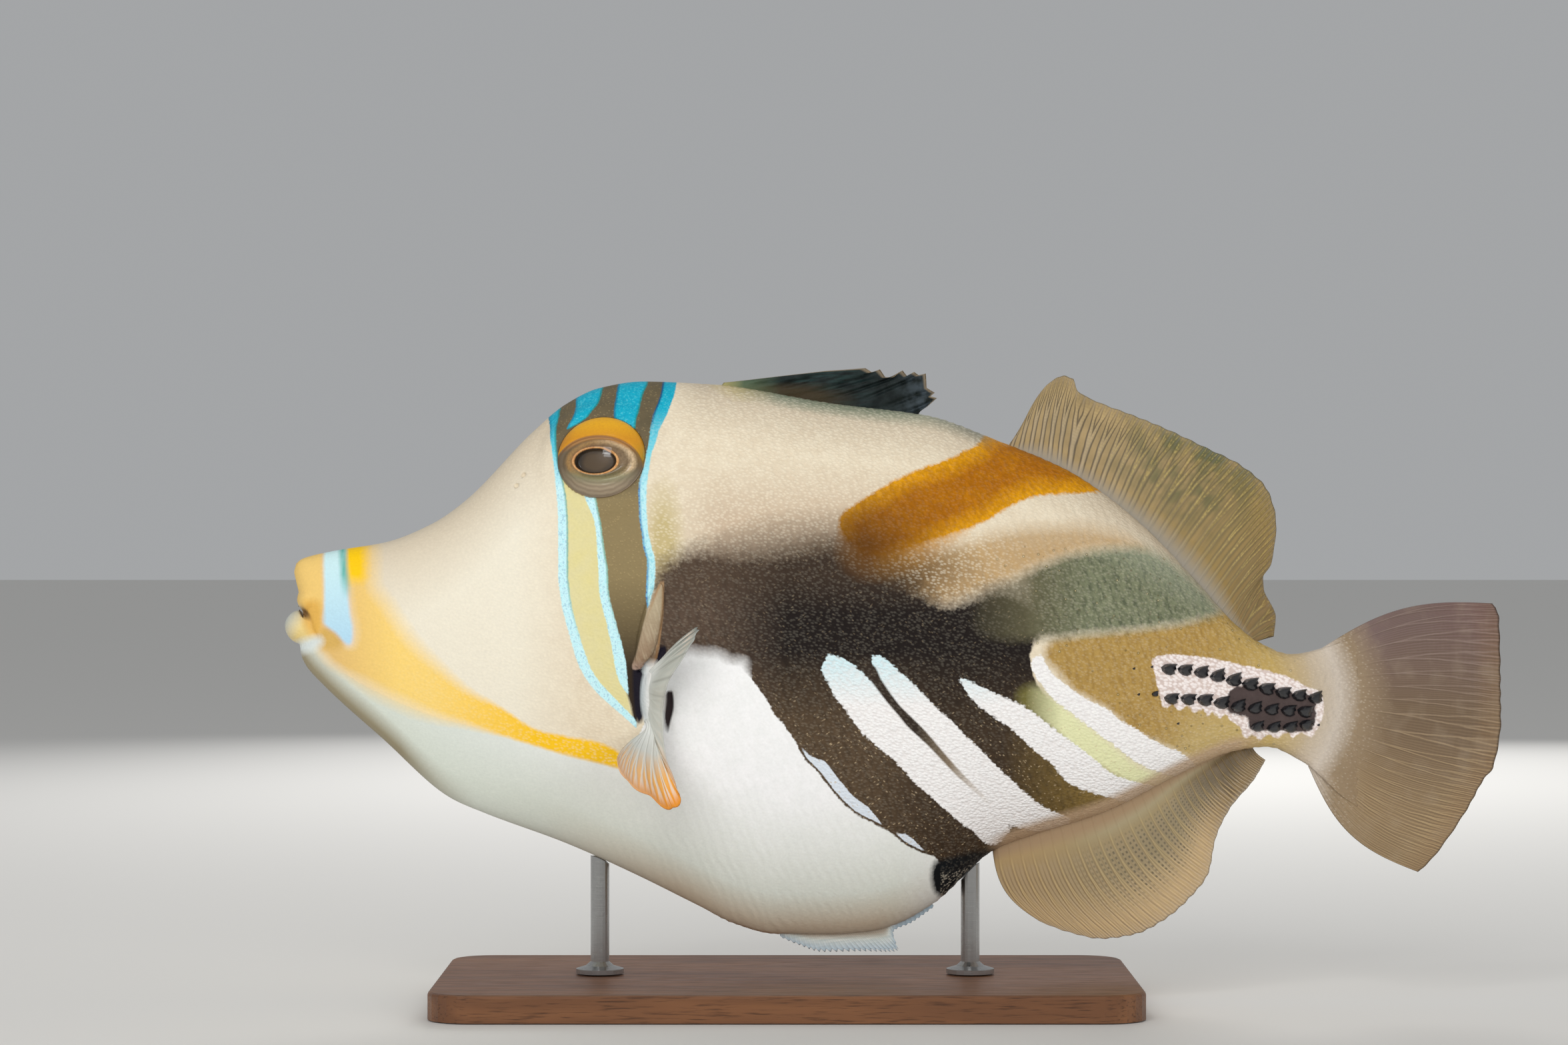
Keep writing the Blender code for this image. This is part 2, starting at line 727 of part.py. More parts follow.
def make_pelvic_flap():
    """The keel of skin below the belly, edged with small spiny scales."""
    folds = 10
    sheet = median_sheet(belly_height, -1, PELVIC_STATIONS, scallop=0.05, rays=folds)
    thickness = rayed_thickness(root=0.0008, membrane=0.0004, ridge=0.00015, tip=0.00025)
    bm = thin_sheet(sheet, folds * 2, (0.0, 0.25, 0.6, 1.0), thickness, SIDEWAYS)
    add_object("pelvic_flap", bm, finish("pelvic", (0.72, 0.80, 0.80), 0.5))


def make_tail_fin():
    rays = 12
    rows = (0.0, 0.08, 0.2, 0.35, 0.5, 0.65, 0.8, 0.91, 1.0)
    margin_x = through([(share, x) for share, x, z in TAIL_FIN_STATIONS])
    margin_z = through([(share, z) for share, x, z in TAIL_FIN_STATIONS])
    top = Vector((TAIL_FIN_ROOT_TOP[0], 0, TAIL_FIN_ROOT_TOP[1]))
    bottom = Vector((TAIL_FIN_ROOT_BOTTOM[0], 0, TAIL_FIN_ROOT_BOTTOM[1]))

    def sheet(s, t):
        base = top.lerp(bottom, s)
        ray = Vector((margin_x(s), 0, margin_z(s))) - base
        between = 0.5 - 0.5 * math.cos(2 * math.pi * rays * s)
        reach = t * (1 - 0.02 * between * t)
        bow = 0.10 * (1 - s) ** 2 - 0.13 * s**2
        across = Vector((-ray.z, 0, ray.x))
        return base + ray * reach + across * bow * math.sin(math.pi * t)

    thickness = rayed_thickness(root=0.0018, membrane=0.0003, ridge=0.0003, tip=0.0002, fleshy=0.3)
    bm = thin_sheet(sheet, rays * 2, rows, thickness, SIDEWAYS)
    add_object("tail_fin", bm, finish("tail_fin", *FIN))


def make_breast_fins():
    """The pectoral fins, fanned out from the flanks and cupped towards the head."""
    rays = 13
    rows = (0.0, 0.12, 0.22, 0.4, 0.6, 0.8, 1.0)
    margins = [through([(s[0], s[axis]) for s in BREAST_FIN_STATIONS]) for axis in (1, 2, 3)]
    for name, side in SIDES.items():

        def root(s):
            x = BREAST_FIN_ROOT_TOP[0] + (BREAST_FIN_ROOT_BOTTOM[0] - BREAST_FIN_ROOT_TOP[0]) * s
            z = BREAST_FIN_ROOT_TOP[1] + (BREAST_FIN_ROOT_BOTTOM[1] - BREAST_FIN_ROOT_TOP[1]) * s
            return Vector((x, side * (flank_spread(x, z) - BREAST_FIN_ROOT_DEPTH), z))

        def sheet(s, t):
            base = root(s)
            tip = Vector((margins[0](s), side * margins[1](s), margins[2](s)))
            between = 0.5 - 0.5 * math.cos(2 * math.pi * rays * s)
            reach = t * (1 - 0.03 * between * t)
            cup = Vector((-0.0012, 0, 0)) * math.sin(math.pi * t)
            return base.lerp(tip, reach) + cup

        thickness = rayed_thickness(root=0.0011, membrane=0.00025, ridge=0.0002, tip=0.00018, fleshy=0.25)
        fin = add_object(
            "pectoral_fin_" + name, thin_sheet(sheet, rays * 2, rows, thickness),
            finish("pectoral_" + name, *FIN),
        )
        combine(fin, [body_shape(GAP)], "DIFFERENCE")


def make_stand():
    """A flat wooden base with two short steel rods that reach the belly."""
    length, width, height = STAND_BASE_SIZE
    bm = bmesh.new()
    bmesh.ops.create_cube(bm, size=1)
    bmesh.ops.scale(bm, vec=STAND_BASE_SIZE, verts=bm.verts)
    bmesh.ops.translate(bm, vec=(STAND_BASE_CENTRE, 0, height / 2), verts=bm.verts)
    upright = [e for e in bm.edges if abs(e.verts[0].co.z - e.verts[1].co.z) > height / 2]
    bmesh.ops.bevel(
        bm, geom=upright, offset=STAND_CORNER_RADIUS, segments=6, profile=0.5, affect="EDGES", material=-1
    )
    rim = [e for e in bm.edges if all(v.co.z > height * 0.9 for v in e.verts)]
    bmesh.ops.bevel(
        bm, geom=rim, offset=STAND_EDGE_BEVEL, segments=2, profile=0.5, affect="EDGES", material=-1
    )
    add_object("stand_base", bm, finish("stand_wood", (0.16, 0.09, 0.05), 0.4))
    for name, x in ROD_PLACES.items():
        make_rod(name, x)


def make_rod(name, x):
    foot = STAND_BASE_SIZE[2] + GAP
    top = belly_height(x) + ROD_REACH
    profile = (
        (0, top),
        (ROD_RADIUS, top),
        (ROD_RADIUS, foot + ROD_FOOT_HEIGHT + 0.0008),
        (ROD_RADIUS + 0.0009, foot + ROD_FOOT_HEIGHT),
        (ROD_FOOT_RADIUS, foot + ROD_FOOT_HEIGHT * 0.6),
        (ROD_FOOT_RADIUS, foot),
        (0, foot),
    )
    bm = bmesh.new()
    verts = [bm.verts.new((x + r, 0, z)) for r, z in profile]
    edges = [bm.edges.new(pair) for pair in zip(verts, verts[1:])]
    bmesh.ops.spin(
        bm, geom=verts + edges, axis=(0, 0, 1), cent=(x, 0, 0), angle=2 * math.pi, steps=20, use_merge=True
    )
    bmesh.ops.remove_doubles(bm, verts=bm.verts, dist=0.00001)
    bmesh.ops.recalc_face_normals(bm, faces=bm.faces)
    rod = add_object("stand_rod_" + name, bm, finish("rod_" + name, (0.6, 0.6, 0.6), 0.3, 1.0))
    combine(rod, [body_shape(GAP)], "DIFFERENCE")


clear_scene()
make_head()
make_trunk()
make_tail()
make_eyes()
make_first_dorsal_fin()
make_second_dorsal_fin()
make_anal_fin()
make_pelvic_flap()
make_tail_fin()
make_breast_fins()
make_stand()
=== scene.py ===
import json
import math
import bmesh
import bpy
import numpy as np
from mathutils import Matrix, Vector

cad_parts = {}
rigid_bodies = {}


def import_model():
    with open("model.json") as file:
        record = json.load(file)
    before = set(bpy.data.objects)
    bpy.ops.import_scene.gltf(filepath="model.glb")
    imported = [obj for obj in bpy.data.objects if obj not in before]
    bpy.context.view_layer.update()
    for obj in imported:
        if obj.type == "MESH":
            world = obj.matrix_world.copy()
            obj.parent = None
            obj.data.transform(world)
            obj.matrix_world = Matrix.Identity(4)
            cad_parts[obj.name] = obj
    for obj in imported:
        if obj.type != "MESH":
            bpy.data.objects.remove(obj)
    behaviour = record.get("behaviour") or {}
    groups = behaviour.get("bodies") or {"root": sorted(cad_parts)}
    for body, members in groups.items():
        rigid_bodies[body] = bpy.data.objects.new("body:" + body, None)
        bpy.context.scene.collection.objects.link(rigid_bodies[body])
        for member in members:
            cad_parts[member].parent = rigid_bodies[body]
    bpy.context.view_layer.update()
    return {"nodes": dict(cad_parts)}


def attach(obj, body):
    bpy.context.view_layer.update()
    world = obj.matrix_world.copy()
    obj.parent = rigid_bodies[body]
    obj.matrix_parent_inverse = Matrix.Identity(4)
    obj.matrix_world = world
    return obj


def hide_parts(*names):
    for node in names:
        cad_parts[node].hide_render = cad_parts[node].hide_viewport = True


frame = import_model()

# The skin: one thick, leathery hide over head, trunk and tail, made of small plates that carry
# rows of fine grains. It is a tube of rings laid along the fish and closed at both ends, with
# the lips and the gill cover's edge joined to it, and it takes the place of the head, the trunk
# and the tail of the solid model. All sizes in this script are in millimetres; the fish faces
# -X with its left flank towards -Y.
MM = 0.001
MERGE = 0.002
SIDES = {"left": -1, "right": 1}

# Side view of the body: (place along the fish, height).
BACK_LINE = (
    (-112.4, 80.6), (-112.0, 81.8), (-110.6, 83.0), (-105.0, 84.4), (-95.0, 86.1),
    (-86.3, 89.6), (-80.0, 94.0), (-67.5, 106.8), (-61.3, 112.0), (-55.0, 115.0),
    (-47.0, 116.2), (-34.0, 115.6), (-11.3, 112.0), (6.3, 109.7), (20.0, 104.8),
    (32.5, 99.5), (45.0, 90.6), (57.5, 77.8), (63.8, 70.8), (68.8, 67.0), (74.4, 65.0),
    (84.0, 67.3), (89.0, 69.0),
)
BELLY_LINE = (
    (-112.4, 68.0), (-110.6, 63.8), (-106.9, 59.5), (-95.6, 49.2), (-83.1, 38.2),
    (-76.9, 35.4), (-61.3, 29.6), (-48.8, 24.0), (-36.3, 17.8), (-30.0, 14.7), (-22.0, 12.7),
    (-12.5, 12.6), (-5.0, 13.1), (0.0, 14.3), (7.5, 18.4), (18.8, 28.4), (26.3, 31.3),
    (38.8, 35.3), (57.5, 44.6), (63.8, 47.0), (70.0, 47.8), (76.3, 45.2), (84.0, 38.5),
    (89.0, 35.0),
)
# Half the body's thickness, and the height at which it is thickest.
HALF_WIDTH_LINE = (
    (-112.4, 2.2), (-111.8, 3.4), (-110.6, 4.5), (-108.0, 5.5), (-104.0, 6.3), (-95.0, 8.2),
    (-80.0, 11.2), (-65.0, 14.0), (-52.0, 15.8), (-38.0, 17.0), (-22.0, 17.4), (0.0, 16.5),
    (20.0, 14.6), (40.0, 11.2), (55.0, 7.8), (65.0, 5.6), (74.0, 4.1), (80.0, 2.6),
    (84.0, 1.1), (87.0, 0.35), (89.0, 0.2),
)
WIDEST_LINE = (
    (-112.4, 74.5), (-95.0, 72.0), (-65.0, 72.5), (-30.0, 73.0), (0.0, 71.5), (30.0, 65.0),
    (60.0, 57.5), (84.0, 55.5),
)
# Corners of the section: 1 gives an ellipse, more gives a keel and less a fuller flank.
UPPER_POWER_LINE = ((-112.4, 0.70), (-95.0, 0.95), (-60.0, 1.15), (30.0, 1.15), (84.0, 0.80))
LOWER_POWER_LINE = ((-112.4, 0.70), (-95.0, 1.00), (-40.0, 1.25), (30.0, 1.25), (84.0, 0.80))
RIDGE_HALF_WIDTH = 0.9
SNOUT_TIP = -112.4
BODY_END = 87.0
MOUTH_HEIGHT = 72.6
MOUTH_NOTCH_DEPTH = 2.2
MOUTH_NOTCH_REACH = 8.5


def through(points):
    """A smooth function on arrays through (place, value) points, which never swings past them."""
    places, values = (np.array(column, float) for column in zip(*points))
    spans = np.diff(places)
    rises = np.diff(values) / spans
    product = rises[:-1] * rises[1:]
    total = rises[:-1] + rises[1:]
    middle = np.where(product > 0, 2 * product / np.where(total == 0, 1, total), 0)
    slopes = np.concatenate([rises[:1], middle, rises[-1:]])

    def value(place):
        place = np.clip(place, places[0], places[-1])
        k = np.clip(np.searchsorted(places, place, "right") - 1, 0, len(spans) - 1)
        t = (place - places[k]) / spans[k]
        return (
            values[k] * (1 + 2 * t) * (1 - t) ** 2
            + slopes[k] * spans[k] * t * (1 - t) ** 2
            + values[k + 1] * t * t * (3 - 2 * t)
            + slopes[k + 1] * spans[k] * t * t * (t - 1)
        )

    return value


back_height = through(BACK_LINE)
belly_height = through(BELLY_LINE)
half_width = through(HALF_WIDTH_LINE)
widest_height = through(WIDEST_LINE)
upper_power = through(UPPER_POWER_LINE)
lower_power = through(LOWER_POWER_LINE)


def section(x, angle):
    """(spread, height) of the body's section at x; the angle runs up from the belly to the back."""
    rise = np.sin(angle)
    wide = widest_height(x)
    reach = np.where(rise > 0, back_height(x), belly_height(x)) - wide
    power = np.where(rise > 0, upper_power(x), lower_power(x))
    width = half_width(x)
    ridge = np.minimum(RIDGE_HALF_WIDTH, width * 0.6)
    spread = ridge + (width - ridge) * np.maximum(np.cos(angle), 0) ** power
    return spread, wide + reach * np.abs(rise)


def flank_spread(x, z):
    """Half the body's width at that place and height."""
    wide = widest_height(x)
    reach = np.where(z > wide, back_height(x), belly_height(x)) - wide
    share = np.clip((z - wide) / reach, 0, 1)
    return section(x, np.arcsin(share) * np.where(z > wide, 1, -1))[0]


def on_flank(x, z, side, reach=1.0):
    """A matrix on the flank: X runs along the body to the tail, Y up it and Z out of it.

    It mirrors on the right flank, so both flanks get the same shapes.
    """
    def point(px, pz):
        return Vector((px, side * float(flank_spread(px, pz)), pz))

    along = (point(x + reach, z) - point(x - reach, z)).normalized()
    up = (point(x, z + reach) - point(x, z - reach)).normalized()
    out = along.cross(up).normalized()
    if out.y * side < 0:
        out.negate()
    up = out.cross(along) if side < 0 else along.cross(out)
    return Matrix.Translation(point(x, z)) @ Matrix((along, up, out)).transposed().to_4x4()


def put(bm, place):
    """Moves the shape to its place, with its faces kept outwards where the place mirrors it."""
    bm.transform(place)
    if place.determinant() < 0:
        bmesh.ops.reverse_faces(bm, faces=bm.faces)


def wrapped(columns, rows, place):
    """A grid bent to place(s, t), whose arrays run from 0 to 1 across and along it, seams merged."""
    bm = bmesh.new()
    bmesh.ops.create_grid(bm, x_segments=columns, y_segments=rows, size=0.5)
    flat = np.array([vert.co[:2] for vert in bm.verts]) + 0.5
    spread = bm.verts.layers.float_vector.new("spread")
    for vert, (s, t), spot in zip(bm.verts, flat, place(flat[:, 0], flat[:, 1])):
        vert[spread] = (1 - abs(2 * s - 1), t, 0)
        vert.co = spot
    bmesh.ops.remove_doubles(bm, verts=bm.verts, dist=MERGE)
    bmesh.ops.dissolve_degenerate(bm, edges=bm.edges, dist=MERGE / 4)
    bmesh.ops.recalc_face_normals(bm, faces=bm.faces)
    return bm


def new_object(name, bm):
    mesh = bpy.data.meshes.new(name)
    bm.to_mesh(mesh)
    bm.free()
    obj = bpy.data.objects.new(name, mesh)
    bpy.context.scene.collection.objects.link(obj)
    return obj


def combined(bm, shapes, operation):
    """The shape with closed ones joined to it or cut from it, as a new bmesh."""
    base = new_object("joining", bm)
    helpers = bpy.data.collections.new("helpers")
    for shape in shapes:
        helper = new_object("helper", shape)
        bpy.context.scene.collection.objects.unlink(helper)
        helpers.objects.link(helper)
    modifier = base.modifiers.new("joining", "BOOLEAN")
    modifier.operation = operation
    modifier.solver = "MANIFOLD"
    modifier.operand_type = "COLLECTION"
    modifier.collection = helpers
    made = bmesh.new()
    made.from_object(base, bpy.context.evaluated_depsgraph_get())
    for helper in list(helpers.objects):
        bpy.data.objects.remove(helper)
    bpy.data.collections.remove(helpers)
    bpy.data.objects.remove(base)
    return made


RING_COUNT = 292
RING_POINTS = 288
CAP_SHARE = 0.02  # of the rings, those that close each end
SNOUT_CROWDING = 0.75
SECTION_STEPS = 400  # the section here sets how the points are spaced round the body
SECTION_PLACE = -20.0


def body_surface(s, t):
    """The hide's points: s runs round the body from the belly, t from the snout to the tail fin."""
    front = np.clip(t / CAP_SHARE, 0, 1)
    rear = np.clip((1 - t) / CAP_SHARE, 0, 1)
    run = np.clip((t - CAP_SHARE) / (1 - 2 * CAP_SHARE), 0, 1)
    run = run * (SNOUT_CROWDING + (1 - SNOUT_CROWDING) * run)
    x = SNOUT_TIP + (BODY_END - SNOUT_TIP) * run
    up = 1 - np.abs(2 * s - 1)
    angles = np.linspace(-math.pi / 2, math.pi / 2, SECTION_STEPS)
    wide, high = section(np.full(SECTION_STEPS, SECTION_PLACE), angles)
    lengths = np.concatenate([[0], np.cumsum(np.hypot(np.diff(wide), np.diff(high)))])
    angle = np.interp(up, lengths / lengths[-1], angles)
    y, z = section(x, angle)
    edge = 2 / RING_POINTS
    y = y * np.clip(up / edge, 0, 1) * np.clip((1 - up) / edge, 0, 1)
    middle = (back_height(x) + belly_height(x)) / 2
    shrink = np.sqrt(np.clip(1 - (1 - np.minimum(front, rear)) ** 2, 0, 1))
    y = y * shrink
    z = middle + (z - middle) * (1 - (1 - shrink) * 0.5)
    z = np.where(np.minimum(front, rear) == 0, middle, z)
    near = np.clip(1 - np.abs(z - MOUTH_HEIGHT) / MOUTH_NOTCH_REACH, 0, 1)
    ahead = np.clip(1 - (x - SNOUT_TIP) / MOUTH_NOTCH_REACH, 0, 1)
    x = x + MOUTH_NOTCH_DEPTH * near * ahead
    return np.column_stack([x, np.where(s < 0.5, -y, y), z])


def blob(radii, place, u=40, v=28):
    bm = bmesh.new()
    bmesh.ops.create_uvsphere(bm, u_segments=u, v_segments=v, radius=1)
    bmesh.ops.scale(bm, vec=radii, verts=bm.verts)
    put(bm, place)
    return bm


def tilted(x, z, degrees):
    return Matrix.Translation((x, 0, z)) @ Matrix.Rotation(math.radians(degrees), 4, "Y")


LOWER_LIP = ((3.6, 4.6, 3.2), (-110.6, 70.1, 28))
UPPER_LIP = ((2.6, 5.5, 3.0), (-109.2, 75.2, 0))
MOUTH_SLIT = ((1.3, 7.0, 0.22), (-110.8, 72.9, 60))
GILL_FLAP_RADII = (1.95, 8.7, 1.1)
GILL_FLAP_PLACE = (-45.2, 70.2)
GILL_FLAP_LEAN = -13
NOSTRILS = ((-70.2, 96.6), (-68.9, 98.6))
NOSTRIL_RADIUS = 0.55
SOFT_LIPS_END = -103.0  # ahead of this place and between these heights the lips are softened
SOFT_LIPS_HEIGHTS = (63.0, 82.0)
SOFT_LIPS_ROUNDS = 5


def make_hide():
    """The hide with lips, mouth, gill flaps and nostrils, before its relief."""
    bm = wrapped(RING_POINTS, RING_COUNT, body_surface)
    lips = [blob(radii, tilted(*place)) for radii, place in (LOWER_LIP, UPPER_LIP)]
    lean = Matrix.Rotation(math.radians(GILL_FLAP_LEAN), 4, "Z")
    flaps = [
        blob(GILL_FLAP_RADII, on_flank(*GILL_FLAP_PLACE, side, reach=6) @ lean, u=32, v=20)
        for side in SIDES.values()
    ]
    bm = combined(bm, lips + flaps, "UNION")
    low, high = SOFT_LIPS_HEIGHTS
    soft = [vert for vert in bm.verts if vert.co.x < SOFT_LIPS_END and low < vert.co.z < high]
    for _ in range(SOFT_LIPS_ROUNDS):
        bmesh.ops.smooth_vert(
            bm, verts=soft, factor=0.5, use_axis_x=True, use_axis_y=True, use_axis_z=True
        )
    slit = blob(MOUTH_SLIT[0], tilted(*MOUTH_SLIT[1]), u=36, v=12)
    holes = [
        blob((NOSTRIL_RADIUS,) * 3, on_flank(x, z, side), u=14, v=8)
        for side in SIDES.values()
        for x, z in NOSTRILS
    ]
    bm = combined(bm, [slit] + holes, "DIFFERENCE")
    bmesh.ops.triangulate(bm, faces=[face for face in bm.faces if len(face.verts) > 4])
    bmesh.ops.remove_doubles(bm, verts=bm.verts, dist=MERGE)
    return bm


